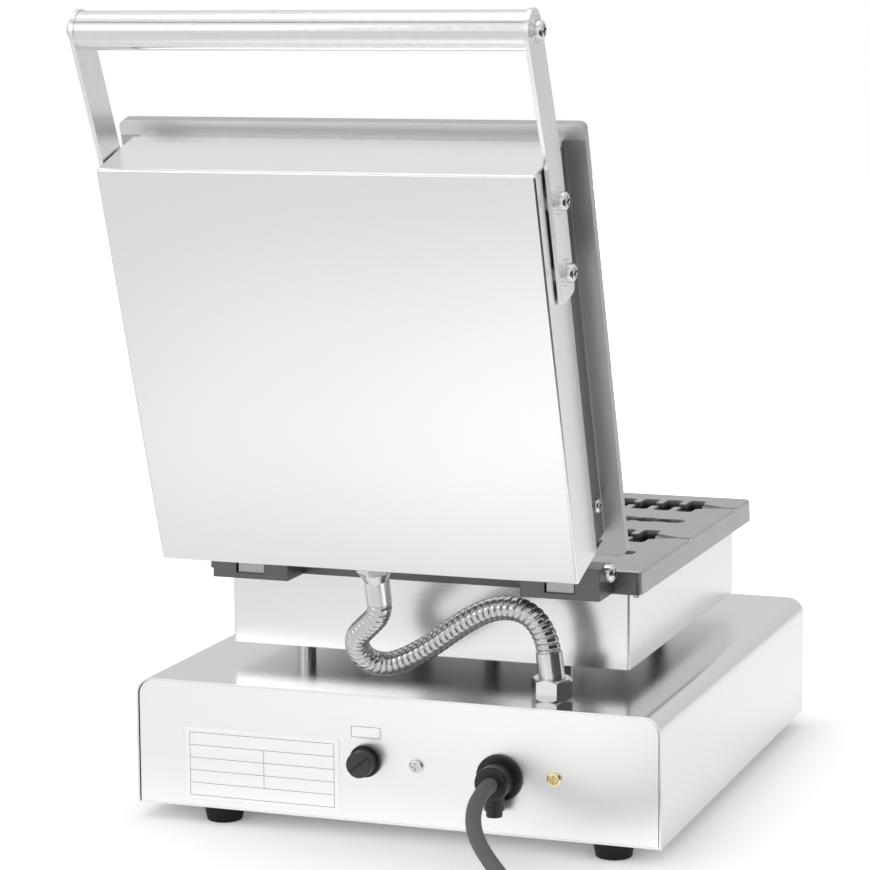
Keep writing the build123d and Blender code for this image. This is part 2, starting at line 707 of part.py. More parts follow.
def heater_route(level):
    """Flat loop of a tubular heater at one level, open beside the wiring hole."""
    x, y = HEATER_LOOP_X, HEATER_LOOP_Y
    lead, end = HEATER_LEAD_X, HEATER_LEAD_END
    points = [(-lead, -end), (-lead, -y), (-x, -y), (-x, y), (x, y), (x, -y), (lead, -y), (lead, -end)]
    inner = HEATER_LEAD_X * 0.9
    radii = [inner, HEATER_BEND, HEATER_BEND, HEATER_BEND, HEATER_BEND, inner]
    return FilletPolyline(*[(px, BOX_Y + py, level) for px, py in points], radius=radii)


def lower_plate():
    """Cast lower plate: rim, fir-tree moulds, heater boss with its groove, and both hinge lugs."""
    plate = Pos(0, 0, PLATE_TOP) * plate_slab(LOWER_RIM)
    boss_width = BOX_WIDTH - 2 * SHEET - 2 * FIT_GAP
    boss_depth = BOX_DEPTH - 2 * SHEET - 2 * FIT_GAP
    plate += upright_block(boss_width, boss_depth, BOSS_BOTTOM, BOX_TOP + 1, BOX_CORNER_RADIUS, (0, BOX_Y))
    slots = []
    for side in (-1, 1):
        lug, slot, bore = hinge_lug(side)
        plate += lug
        slots += [slot, bore]
    cuts = [Pos(0, 0, PLATE_TOP) * cut for cut in all_moulds()]
    groove = tube_along(heater_route(BOSS_BOTTOM), HEATER_RADIUS + RUNNING_CLEARANCE)
    threads = [
        rod(SCREW_RADIUS + RUNNING_CLEARANCE, (x, y, BOSS_BOTTOM - 1), (x, y, BOSS_BOTTOM + LOWER_BOSS))
        for x, y in CLAMP_BOLT_PLACES
    ]
    radius = RIM_SCREW_RADIUS + RUNNING_CLEARANCE
    depth = RIM_SCREW_LENGTH - RIM_SCREW_SHOWS
    threads += [rod(radius, (x, y, BOX_TOP - 1), (x, y, BOX_TOP + depth)) for x, y in RIM_SCREW_PLACES]
    return plate - slots - cuts - [groove] - threads


def rim_screw(x, y):
    """Levelling screw in the lower plate's rim, its tip standing out below."""
    low = BOX_TOP - RIM_SCREW_SHOWS
    screw = rod(RIM_SCREW_RADIUS, (x, y, low), (x, y, low + RIM_SCREW_LENGTH))
    return chamfer(screw.edges().sort_by(Axis.Z)[0], RIM_SCREW_RADIUS * 0.3)


def heater(level):
    """Tubular heater in the grooves of a plate."""
    return tube_along(heater_route(level), HEATER_RADIUS)


def heater_clamp(row, level, direction):
    """Bridge bar across the heater, standing on two feet, above or below a plate's back face."""
    y = BOX_Y + row * CLAMP_SPREAD_Y / 2
    half = HEATER_LOOP_X + CLAMP_OVERHANG
    near = level + direction * (HEATER_RADIUS + RUNNING_CLEARANCE)
    far = near + direction * CLAMP_THICKNESS
    low, high = sorted((near, far))
    bar = box_between((-half, y - CLAMP_WIDTH / 2, low), (half, y + CLAMP_WIDTH / 2, high))
    foot_low, foot_high = sorted((level, near))
    for side in (-1, 1):
        inner, outer = sorted((side * half, side * (half - CLAMP_FOOT)))
        bar += box_between((inner, y - CLAMP_WIDTH / 2, foot_low), (outer, y + CLAMP_WIDTH / 2, foot_high))
        x = side * CLAMP_SPREAD_X / 2
        bar -= rod(SCREW_RADIUS + HOLE_CLEARANCE, (x, y, low - 1), (x, y, high + 1))
    return bar


def plate_bolt(x, y):
    """Long bolt that holds the box and the heater clamp up to the lower plate."""
    head = hex_bar(NUT_FLATS, (x, y, BOX_BOTTOM - BOLT_HEAD_HEIGHT), (x, y, BOX_BOTTOM))
    shank = rod(SCREW_RADIUS, (x, y, BOX_BOTTOM), (x, y, BOSS_BOTTOM + LOWER_BOSS - 1))
    top = BOSS_BOTTOM - HEATER_RADIUS - RUNNING_CLEARANCE - CLAMP_THICKNESS
    nut = hex_bar(NUT_FLATS, (x, y, top - NUT_HEIGHT), (x, y, top))
    return head + shank + nut


def lower_insulation():
    """Fibre blanket on the floor of the box, with holes for the bolts and the wiring."""
    low = BOX_BOTTOM + SHEET
    width = BOX_WIDTH - 2 * SHEET - 2 * INSULATION_SIDE_GAP
    depth = BOX_DEPTH - 2 * SHEET - 2 * INSULATION_SIDE_GAP
    slab = upright_block(width, depth, low, low + INSULATION_HEIGHT, 6, (0, BOX_Y))
    radius = NUT_FLATS / 2 / math.cos(math.pi / 6) + FIT_GAP
    holes = [
        rod(radius, (x, y, low - 1), (x, y, low + INSULATION_HEIGHT + 1))
        for x, y in STANDOFF_PLACES + CLAMP_BOLT_PLACES
    ]
    holes.append(rod(INSULATION_HOLE / 2, (0, BOX_Y, low - 1), (0, BOX_Y, low + INSULATION_HEIGHT + 1)))
    return slab - holes


# Lid, drawn closed


def lid_ear(side):
    """Ear of the upper plate that turns on the hinge bolt, with the toe that rests on the slot floor."""
    middle = side * LUG_SPREAD / 2
    half = SLOT_WIDTH / 2 - EAR_SIDE_GAP
    low, high = middle - half, middle + half
    eye = rod(EAR_RADIUS, (low, HINGE_Y, HINGE_Z), (high, HINGE_Y, HINGE_Z))
    arm = box_between((low, PLATE_REAR - 6, UPPER_FACE), (high, HINGE_Y, UPPER_FACE + UPPER_RIM))
    floor = PLATE_TOP - LUG_DROP + SLOT_FLOOR
    toe_rear = PLATE_REAR + LUG_REACH - TOE_REAR_INSET
    toe = box_between(
        (low, toe_rear - TOE_LENGTH, floor + TOE_GAP),
        (high, toe_rear, floor + TOE_GAP + TOE_HEIGHT),
    )
    bore = rod(HINGE_PIN_RADIUS + RUNNING_CLEARANCE, (low - 1, HINGE_Y, HINGE_Z), (high + 1, HINGE_Y, HINGE_Z))
    return eye + arm + closed_again(toe), bore


def upper_plate():
    """Cast upper plate: rim, moulds, walled back that holds the heater, and both hinge ears."""
    slab = Rot(0, 180, 0) * plate_slab(UPPER_RIM)
    back_width = BOX_WIDTH - 2 * SHEET - 2 * FIT_GAP
    back_depth = BOX_DEPTH - 2 * SHEET - 2 * FIT_GAP
    middle = (0, BOX_Y)
    back = upright_block(back_width, back_depth, UPPER_RIM - 1, UPPER_WALL_TOP, BOX_CORNER_RADIUS, middle)
    tray = upright_block(
        back_width - 2 * UPPER_WALL,
        back_depth - 2 * UPPER_WALL,
        UPPER_BODY,
        UPPER_WALL_TOP + 1,
        BOX_CORNER_RADIUS,
        middle,
    )
    plate = Pos(0, 0, UPPER_FACE) * (slab + back - tray)
    cuts = []
    for side in (-1, 1):
        ear, bore = lid_ear(side)
        plate += ear
        cuts.append(bore)
        y, z = lid_point(SIDE_SCREW_FROM_HINGE, SIDE_SCREW_UP)
        wall = side * back_width / 2
        cuts.append(rod(SCREW_RADIUS + RUNNING_CLEARANCE, (wall - side * UPPER_WALL, y, z), (wall + side, y, z)))
    mirrored = [Pos(0, 0, UPPER_FACE) * mirror(cut, about=Plane.XY) for cut in all_moulds()]
    back = UPPER_FACE + UPPER_BODY
    groove = tube_along(heater_route(back), HEATER_RADIUS + RUNNING_CLEARANCE)
    radius = SCREW_RADIUS + RUNNING_CLEARANCE
    cuts += [rod(radius, (x, y, back - UPPER_THREAD), (x, y, back + 1)) for x, y in CLAMP_BOLT_PLACES]
    return plate - cuts - mirrored - [groove]


def upper_clamp_screw(x, y):
    """Screw through an upper heater clamp into the upper plate."""
    top = UPPER_FACE + UPPER_BODY + HEATER_RADIUS + RUNNING_CLEARANCE + CLAMP_THICKNESS
    length = top - UPPER_FACE - UPPER_BODY + UPPER_THREAD - 1
    screw = pan_screw(PAN_HEAD_RADIUS, PAN_HEAD_HEIGHT, SCREW_RADIUS, length)
    return Pos(x, y, top) * screw


def side_screw(side):
    """Screw in the upper plate's side wall, just below the cover's edge."""
    y, z = lid_point(SIDE_SCREW_FROM_HINGE, SIDE_SCREW_UP)
    wall = BOX_WIDTH / 2 - SHEET - FIT_GAP
    screw = pan_screw(PAN_HEAD_RADIUS, PAN_HEAD_HEIGHT, SCREW_RADIUS, UPPER_WALL - 1)
    return face_out(screw, (side * wall, y, z), (side, 0, 0))


def lid_cover():
    """Sheet cover of the lid, open below; its side edges end higher than its front and rear edges."""
    middle = (0, BOX_Y)
    low = UPPER_FACE + COVER_END_EDGE
    shell = upright_block(BOX_WIDTH, BOX_DEPTH, low, COVER_TOP, COVER_CORNER_RADIUS, middle)
    shell = fillet(shell.faces().sort_by(Axis.Z)[-1].edges(), COVER_CORNER_RADIUS * 0.9)
    inside = upright_block(
        BOX_WIDTH - 2 * SHEET,
        BOX_DEPTH - 2 * SHEET,
        low - 1,
        COVER_TOP - SHEET,
        COVER_CORNER_RADIUS - SHEET / 2,
        middle,
    )
    side_cut = box_between(
        (-BOX_WIDTH, BOX_Y - BOX_DEPTH / 2 + 2 * SHEET, low - 1),
        (BOX_WIDTH, BOX_Y + BOX_DEPTH / 2 - 2 * SHEET, UPPER_FACE + COVER_SIDE_EDGE),
    )
    cuts = [inside, side_cut]
    radius = SCREW_RADIUS + HOLE_CLEARANCE
    for from_hinge in ARM_SCREWS:
        y, z = lid_point(from_hinge, ARM_UP)
        cuts.append(rod(radius, (-BOX_WIDTH, y, z), (BOX_WIDTH, y, z)))
    z = UPPER_FACE + CONDUIT_LID_UP
    rear = BOX_Y + BOX_DEPTH / 2
    cuts.append(rod(HOSE_BORE, (CONDUIT_LID_X, rear - 3, z), (CONDUIT_LID_X, rear + 1, z)))
    return shell - cuts


def handle_arm(side):
    """Flat arm beside the lid: straight along the cover, then bent towards the grip."""
    start = lid_point(ARM_START, ARM_UP)
    bend = lid_point(ARM_BEND, ARM_UP)
    end = lid_point(GRIP_FROM_HINGE, GRIP_UP)
    run = Vector(end[0] - bend[0], end[1] - bend[1]).normalized()
    across = Vector(-run.Y, run.X) * ARM_WIDTH / 2
    half = ARM_WIDTH / 2
    outline = [
        (start[0], start[1] + half),
        (bend[0], bend[1] + half),
        (end[0] - across.X, end[1] - across.Y),
        (end[0] + across.X, end[1] + across.Y),
        (bend[0], bend[1] - half),
        (start[0], start[1] - half),
    ]
    inner, outer = sorted((side * ARM_INNER, side * ARM_OUTER))
    arm = profile_along_x(outline, inner, outer)
    lower_edges = arm.edges().filter_by(Axis.X).sort_by(Axis.Y)[-2:]
    arm = fillet(lower_edges, ARM_CORNER)
    arm += rod(half, (inner, *end), (outer, *end))
    radius = SCREW_RADIUS + HOLE_CLEARANCE
    for place in arm_screw_places():
        arm -= rod(radius, (inner - 1, *place), (outer + 1, *place))
    return arm


def arm_screw_places():
    """Y and Z of the two cover screws and the grip screw of an arm."""
    return [lid_point(u, ARM_UP) for u in ARM_SCREWS] + [lid_point(GRIP_FROM_HINGE, GRIP_UP)]


def handle_grip():
    """Tube between the arms, with a tapped plug in each end."""
    y, z = lid_point(GRIP_FROM_HINGE, GRIP_UP)
    grip = rod(GRIP_RADIUS, (-ARM_INNER, y, z), (ARM_INNER, y, z))
    hollow = ARM_INNER - GRIP_PLUG
    grip -= rod(GRIP_RADIUS - GRIP_WALL, (-hollow, y, z), (hollow, y, z))
    return grip - rod(SCREW_RADIUS + RUNNING_CLEARANCE, (-ARM_INNER - 1, y, z), (ARM_INNER + 1, y, z))


def handle_screw(side, place):
    """Pan head screw through a washer, an arm and what lies behind it."""
    screw = pan_screw(PAN_HEAD_RADIUS + 1, PAN_HEAD_HEIGHT + 1, SCREW_RADIUS, GRIP_PLUG)
    return face_out(screw, (side * (ARM_OUTER + WASHER_THICKNESS), *place), (side, 0, 0))


def ring(side, inner, outer, place, radius):
    """Flat washer or spacer between two distances from the middle."""
    whole = rod(radius, (side * inner, *place), (side * outer, *place))
    hole = SCREW_RADIUS + HOLE_CLEARANCE
    return whole - rod(hole, (side * (inner - 1), *place), (side * (outer + 1), *place))


def upper_insulation():
    """Fibre blanket behind the upper heater."""
    clamp_top = UPPER_FACE + UPPER_BODY + HEATER_RADIUS + RUNNING_CLEARANCE + CLAMP_THICKNESS
    low = clamp_top + PAN_HEAD_HEIGHT
    width = BOX_WIDTH - 2 * SHEET - 2 * UPPER_WALL - 2 * INSULATION_SIDE_GAP
    depth = BOX_DEPTH - 2 * SHEET - 2 * UPPER_WALL - 2 * INSULATION_SIDE_GAP
    return upright_block(width, depth, low, low + UPPER_INSULATION_HEIGHT, 6, (0, BOX_Y))


# Hinge fasteners


def hinge_bolt(side):
    """Hinge bolt: domed head outside the lug, shank through both cheeks and the ear."""
    middle = side * LUG_SPREAD / 2
    outer = middle + side * LUG_WIDTH / 2
    inner = middle - side * (LUG_WIDTH / 2 + NUT_HEIGHT + 1)
    shank_length = abs(outer - inner)
    bolt = pan_screw(HINGE_HEAD_RADIUS, HINGE_HEAD_HEIGHT, HINGE_PIN_RADIUS, shank_length)
    return face_out(bolt, (outer, HINGE_Y, HINGE_Z), (side, 0, 0))


def hinge_nut(side):
    """Nut on the inner end of a hinge bolt."""
    inner = side * (LUG_SPREAD / 2 - LUG_WIDTH / 2)
    far = inner - side * NUT_HEIGHT
    nut = hex_bar(10.0, (inner, HINGE_Y, HINGE_Z), (far, HINGE_Y, HINGE_Z))
    radius = HINGE_PIN_RADIUS + RUNNING_CLEARANCE
    return nut - rod(radius, (inner + side, HINGE_Y, HINGE_Z), (far - side, HINGE_Y, HINGE_Z))


# Rear fittings


def rear_point(x, z, out=0.0):
    """A point on the rear panel's outer face, or out from it."""
    return (x, PANEL_OUTER + out, BASE_BOTTOM + z)


def reset_bushing():
    """Flanged bushing of the reset button, threaded through the rear panel."""
    body = rod(RESET_FLANGE_RADIUS, rear_point(RESET_X, RESET_Z), rear_point(RESET_X, RESET_Z, RESET_FLANGE))
    end = RESET_FLANGE + RESET_NECK
    body += rod(RESET_THREAD_RADIUS, rear_point(RESET_X, RESET_Z, -SHEET), rear_point(RESET_X, RESET_Z, end))
    bore = RESET_PIN_RADIUS + RUNNING_CLEARANCE
    return body - rod(bore, rear_point(RESET_X, RESET_Z, -3), rear_point(RESET_X, RESET_Z, end + 1))


def limit_switch():
    """Over-temperature cut-out behind the rear panel, with a hollow for the reset pin."""
    near = rear_point(RESET_X, RESET_Z, -SHEET)
    body = rod(LIMIT_RADIUS, rear_point(RESET_X, RESET_Z, -SHEET - LIMIT_LENGTH), near)
    depth = RESET_PIN_TRAVEL + 5
    return body - rod(RESET_PIN_RADIUS + FIT_GAP, rear_point(RESET_X, RESET_Z, -SHEET - depth), near)


def reset_pin():
    """Sprung pin that re-arms the cut-out when it is pressed in."""
    outer = RESET_FLANGE + RESET_NECK + RESET_PIN_TRAVEL
    return rod(RESET_PIN_RADIUS, rear_point(RESET_X, RESET_Z, -SHEET - 4), rear_point(RESET_X, RESET_Z, outer))


def reset_cap():
    """Screw cap over the reset pin, with a coin slot across its face."""
    start, end = RESET_FLANGE, RESET_FLANGE + RESET_CAP_LENGTH
    cap = rod(RESET_CAP_RADIUS, rear_point(RESET_X, RESET_Z, start), rear_point(RESET_X, RESET_Z, end))
    cap = fillet(cap.edges().sort_by(Axis.Y)[-1], 1.0)
    inside = RESET_FLANGE + RESET_NECK + RESET_PIN_TRAVEL + 1
    radius = RESET_THREAD_RADIUS + RUNNING_CLEARANCE
    cap -= rod(radius, rear_point(RESET_X, RESET_Z, start - 1), rear_point(RESET_X, RESET_Z, inside))
    slot = Box(2 * RESET_CAP_RADIUS + 2, 2 * RESET_SLOT_DEPTH, RESET_SLOT_WIDTH)
    return cap - Pos(*rear_point(RESET_X, RESET_Z, end)) * Rot(0, 40, 0) * slot


def cable_gland():
    """Right-angle cord clamp: flange, body, hanging screw boss and the thread through the panel."""
    gland = rod(GLAND_FLANGE_RADIUS, rear_point(GLAND_X, GLAND_Z), rear_point(GLAND_X, GLAND_Z, GLAND_FLANGE))
    gland = fillet(gland.edges().sort_by(Axis.Y)[-1], 1.2)
    end = GLAND_FLANGE + GLAND_BODY
    body = rod(GLAND_BODY_RADIUS, rear_point(GLAND_X, GLAND_Z, 0), rear_point(GLAND_X, GLAND_Z, end))
    gland += fillet(body.edges().sort_by(Axis.Y)[-1], 2.0)
    gland += rod(GLAND_CLAMP_RADIUS, gland_clamp_point(0), gland_clamp_point(GLAND_CLAMP_DROP))
    gland += rod(GLAND_THREAD_RADIUS, rear_point(GLAND_X, GLAND_Z, -GLAND_THREAD), rear_point(GLAND_X, GLAND_Z, 0))
    bore = CORD_RADIUS + RUNNING_CLEARANCE
    gland -= rod(bore, cord_start(), rear_point(GLAND_X, GLAND_Z, end + 1))
    screw_hole = rod(
        SCREW_RADIUS + RUNNING_CLEARANCE, gland_clamp_point(GLAND_BODY_RADIUS), gland_clamp_point(GLAND_CLAMP_DROP + 1)
    )
    return gland - screw_hole


def gland_clamp_point(drop):
    """Point on the axis of the gland's hanging screw boss."""
    x, y, z = rear_point(GLAND_X, GLAND_Z, GLAND_FLANGE + GLAND_CLAMP_FORWARD)
    return (x, y, z - drop)


def gland_clamp_screw():
    """Screw that tightens the gland on the cord, headed under the boss."""
    head = rod(GLAND_CLAMP_RADIUS - 1.2, gland_clamp_point(GLAND_CLAMP_DROP), gland_clamp_point(GLAND_CLAMP_DROP + 4))
    return head + rod(SCREW_RADIUS, gland_clamp_point(GLAND_BODY_RADIUS + 1), gland_clamp_point(GLAND_CLAMP_DROP))


def gland_nut():
    """Lock nut of the gland inside the panel."""
    near = rear_point(GLAND_X, GLAND_Z, -SHEET)
    far = rear_point(GLAND_X, GLAND_Z, -SHEET - GLAND_NUT)
    nut = hex_bar(GLAND_NUT_FLATS, near, far)
    return nut - rod(GLAND_THREAD_RADIUS + RUNNING_CLEARANCE, rear_point(GLAND_X, GLAND_Z), rear_point(GLAND_X, GLAND_Z, -10))


def rear_screw(x, z, length):
    """Cross-head screw in the rear panel with a nut inside."""
    screw = pan_screw(PAN_HEAD_RADIUS, PAN_HEAD_HEIGHT * 0.8, SCREW_RADIUS, length)
    near = rear_point(x, z, -SHEET)
    far = rear_point(x, z, -SHEET - NUT_HEIGHT)
    return face_out(screw, rear_point(x, z), (0, 1, 0)) + hex_bar(NUT_FLATS, near, far)


def rear_label(x, z, width, height):
    """Thin blank plate on the rear panel."""
    low = rear_point(x - width / 2, z - height / 2)
    high = rear_point(x + width / 2, z + height / 2, LABEL_THICKNESS)
    return box_between(low, high)


# Front controls


def front_point(x, z, out=0.0):
    """A point on the front panel's outer face, or out from it."""
    return (x, -PANEL_OUTER - out, BASE_BOTTOM + z)


def control_body(side, size):
    """Switch body behind the front panel, bored for its shaft."""
    width, depth, height = size
    x = side * KNOB_SPREAD / 2
    near = -PANEL_INNER
    body = box_between(
        (x - width / 2, near, BASE_BOTTOM + CONTROL_Z - height / 2),
        (x + width / 2, near + depth, BASE_BOTTOM + CONTROL_Z + height / 2),
    )
    body = fillet(body.edges().filter_by(Axis.Y), 2.0)
    radius = SHAFT_RADIUS + RUNNING_CLEARANCE
    inner = front_point(x, CONTROL_Z, -SHEET - SHAFT_IN_BODY - 1)
    return body - rod(radius, inner, front_point(x, CONTROL_Z, 1))


def control_shaft(side):
    """Shaft from a switch body into its knob, with one flat."""
    x = side * KNOB_SPREAD / 2
    out = CONTROL_PLATE_THICKNESS + KNOB_STANDOFF + SHAFT_IN_KNOB
    shaft = rod(SHAFT_RADIUS, front_point(x, CONTROL_Z, -SHEET - SHAFT_IN_BODY), front_point(x, CONTROL_Z, out))
    flat_low = front_point(x - SHAFT_RADIUS, CONTROL_Z + SHAFT_RADIUS - SHAFT_FLAT, out)
    start = CONTROL_PLATE_THICKNESS + KNOB_STANDOFF
    flat_high = front_point(x + SHAFT_RADIUS, CONTROL_Z + SHAFT_RADIUS + 1, start)
    return shaft - box_between(flat_low, flat_high)


def control_knob(side):
    """Fluted knob with a wider skirt and a bore for the shaft."""
    x = side * KNOB_SPREAD / 2
    start = CONTROL_PLATE_THICKNESS + KNOB_STANDOFF
    end = start + KNOB_LENGTH
    knob = rod(KNOB_RADIUS, front_point(x, CONTROL_Z, start), front_point(x, CONTROL_Z, end))
    knob = fillet(knob.edges().sort_by(Axis.Y)[0], 2.0)
    flutes = []
    for step in range(KNOB_FLUTES):
        angle = 2 * math.pi * step / KNOB_FLUTES
        fx = x + (KNOB_RADIUS + KNOB_FLUTE_RADIUS * 0.5) * math.cos(angle)
        fz = CONTROL_Z + (KNOB_RADIUS + KNOB_FLUTE_RADIUS * 0.5) * math.sin(angle)
        flutes.append(
            rod(KNOB_FLUTE_RADIUS, front_point(fx, fz, start + KNOB_SKIRT + 1), front_point(fx, fz, end + 1))
        )
    knob -= flutes
    knob += rod(
        KNOB_SKIRT_RADIUS, front_point(x, CONTROL_Z, start), front_point(x, CONTROL_Z, start + KNOB_SKIRT)
    )
    bore = rod(SHAFT_RADIUS, front_point(x, CONTROL_Z, start - 1), front_point(x, CONTROL_Z, start + SHAFT_IN_KNOB))
    flat_low = front_point(x - SHAFT_RADIUS, CONTROL_Z + SHAFT_RADIUS - SHAFT_FLAT, start + SHAFT_IN_KNOB)
    flat_high = front_point(x + SHAFT_RADIUS, CONTROL_Z + SHAFT_RADIUS + 1, start - 1)
    return knob - (bore - box_between(flat_low, flat_high))


def pilot_lamp(side):
    """Pilot lamp: domed lens with a rim outside and its body through the panel."""
    x = side * LAMP_SPREAD / 2
    out = CONTROL_PLATE_THICKNESS
    lamp = rod(LAMP_RADIUS, front_point(x, CONTROL_Z, -LAMP_LENGTH), front_point(x, CONTROL_Z, out))
    lens = rod(LAMP_FLANGE_RADIUS, front_point(x, CONTROL_Z, out), front_point(x, CONTROL_Z, out + LAMP_DOME))
    return lamp + fillet(lens.edges().sort_by(Axis.Y)[0], LAMP_DOME * 0.8)


# Inside the base


def terminal_well(column, row):
    """Place of one screw well of the terminal block, front row 0 or rear row 1, on its top face."""
    middle = PANEL_OUTER - TERMINAL_REAR_INSET
    y = middle + (2 * row - 1) * (TERMINAL_DEPTH / 2 - TERMINAL_ROW_INSET)
    return ((column - 1.5) * TERMINAL_PITCH, y, BASE_BOTTOM + SHEET + TERMINAL_HEIGHT)


def terminal_block():
    """Porcelain terminal block on the bottom sheet."""
    middle = PANEL_OUTER - TERMINAL_REAR_INSET
    low = BASE_BOTTOM + SHEET
    block = box_between(
        (-TERMINAL_WIDTH / 2, middle - TERMINAL_DEPTH / 2, low),
        (TERMINAL_WIDTH / 2, middle + TERMINAL_DEPTH / 2, low + TERMINAL_HEIGHT),
    )
    wells = []
    for column in range(4):
        for row in (0, 1):
            x, y, z = terminal_well(column, row)
            wells.append(rod(TERMINAL_WELL, (x, y, z - TERMINAL_WELL_DEPTH), (x, y, z + 1)))
    return block - wells


def bent_lead(points, radius):
    """Round lead along straight runs with one bend radius."""
    return tube_along(FilletPolyline(*points, radius=LEAD_BEND), radius)


def wiring_loom():
    """Sleeved leads from the terminal block to the gland, the wiring tube and the conduit."""
    gx, gy, gz = rear_point(GLAND_X, GLAND_Z, -GLAND_THREAD)
    wells = [terminal_well(0, 1), terminal_well(2, 0), terminal_well(3, 1)]
    supply = [(gx, gy, gz), (gx, gy - SUPPLY_LEAD_RUN, gz), (wells[0][0], wells[0][1], gz), wells[0]]
    under_top = BASE_TOP - SHEET
    x, y, z = wells[1]
    level = under_top - HEATER_LEAD_DROP
    heater_lead = [(-LEAD_OFFSET, BOX_Y, BOX_BOTTOM), (-LEAD_OFFSET, BOX_Y, level), (x, y, level), (x, y, z)]
    x, y, z = wells[2]
    level = under_top - LID_LEAD_DROP
    lid_lead = [
        (CONDUIT_X, CONDUIT_Y, under_top),
        (CONDUIT_X, CONDUIT_Y, level),
        (x, y, level - LID_LEAD_FALL),
        (x, y, z),
    ]
    return [
        bent_lead(supply, LEAD_RADIUS),
        bent_lead(heater_lead, THIN_LEAD_RADIUS),
        bent_lead(lid_lead, LEAD_RADIUS),
    ]


def sensor_capillary():
    """Sensing bulb under the lower plate and its fine tube down to the thermostat."""
    y = BOX_Y + CLAMP_SPREAD_Y / 4
    level = BOSS_BOTTOM - BULB_RADIUS - FIT_GAP
    bulb = rod(BULB_RADIUS, (-BULB_LENGTH, y, level), (0.0, y, level))
    x = -KNOB_SPREAD / 2
    rear = -PANEL_INNER + THERMOSTAT_SIZE[1]
    points = [
        (0.0, y, level),
        (CAPILLARY_RUN, y, level),
        (CAPILLARY_OFFSET, BOX_Y, level - CAPILLARY_DROP),
        (CAPILLARY_OFFSET, BOX_Y, BASE_TOP - CAPILLARY_RUN),
        (x, rear + CAPILLARY_END_RUN, BASE_BOTTOM + CONTROL_Z),
        (x, rear, BASE_BOTTOM + CONTROL_Z),
    ]
    return bulb + bent_lead(points, CAPILLARY_RADIUS)


# Conduit


def bored(shape, start, end):
    """A conduit fitting with the wire passage through it."""
    return shape - rod(HOSE_BORE, start, end)


def conduit_nut():
    """Hex nut that holds the conduit to the base top."""
    low = (CONDUIT_X, CONDUIT_Y, BASE_TOP)
    high = (CONDUIT_X, CONDUIT_Y, BASE_TOP + CONDUIT_NUT_HEIGHT)
    turned = rod(CONDUIT_NUT_FLATS / math.sqrt(3), low, high)
    turned = chamfer(turned.edges().filter_by(GeomType.CIRCLE), CONDUIT_NUT_CHAMFER)
    nut = hex_bar(CONDUIT_NUT_FLATS, low, high) & turned
    return bored(nut, (CONDUIT_X, CONDUIT_Y, BASE_TOP - 1), (CONDUIT_X, CONDUIT_Y, high[2] + 1))


def sleeve_point(along):
    """Point on the axis of the leaning lower sleeve, counted from the top of the nut."""
    lean = math.radians(CONDUIT_LEAN)
    level = BASE_TOP + CONDUIT_NUT_HEIGHT
    return (CONDUIT_X + along * math.sin(lean), CONDUIT_Y, level + along * math.cos(lean))


def conduit_sleeve_lower():
    """Smooth sleeve between the nut and the hose, leaning the way the hose pulls it."""
    sleeve = rod(LOWER_SLEEVE_RADIUS, sleeve_point(-LOWER_SLEEVE_RADIUS), sleeve_point(LOWER_SLEEVE))
    level = BASE_TOP + CONDUIT_NUT_HEIGHT
    reach = 2 * LOWER_SLEEVE_RADIUS
    sleeve -= box_between(
        (CONDUIT_X - reach, CONDUIT_Y - reach, level - reach), (CONDUIT_X + reach, CONDUIT_Y + reach, level)
    )
    return bored(sleeve, sleeve_point(-reach), sleeve_point(LOWER_SLEEVE + 1))


def lid_fitting_point(out):
    """Point on the axis of the lid's conduit fitting, out from the cover's rear face, lid closed."""
    return (CONDUIT_LID_X, BOX_Y + BOX_DEPTH / 2 + out, UPPER_FACE + CONDUIT_LID_UP)


def upper_fitting_length():
    """Length of the lid's conduit fitting, from the cover to the hose."""
    return UPPER_NUT_HEIGHT + UPPER_TAPER + UPPER_SLEEVE


def conduit_sleeve_upper():
    """Fitting on the lid: a hex collar against the cover, a taper and a smooth sleeve."""
    collar = hex_bar(UPPER_NUT_FLATS, lid_fitting_point(0), lid_fitting_point(UPPER_NUT_HEIGHT))
    taper = Cone(UPPER_TAPER_RADIUS, UPPER_SLEEVE_RADIUS, UPPER_TAPER)
    collar += face_out(taper, lid_fitting_point(UPPER_NUT_HEIGHT + UPPER_TAPER / 2), (0, 1, 0))
    sleeve = rod(UPPER_SLEEVE_RADIUS, lid_fitting_point(0), lid_fitting_point(upper_fitting_length()))
    return bored(collar + sleeve, lid_fitting_point(-1), lid_fitting_point(upper_fitting_length() + 1))


def opened_point(point):
    """Where a closed lid point lies with the lid open."""
    moved = opened(Pos(*point) * Box(1, 1, 1)).center()
    return (moved.X, moved.Y, moved.Z)


def hose_route():
    """Route of the flexible hose from the lower sleeve to the open lid's fitting."""
    start = sleeve_point(LOWER_SLEEVE)
    after = sleeve_point(LOWER_SLEEVE + HOSE_START_RUN)
    end = opened_point(lid_fitting_point(upper_fitting_length()))
    before = opened_point(lid_fitting_point(upper_fitting_length() + HOSE_END_RUN))
    return smooth_route([start, after] + HOSE_ROUTE + [before, end])


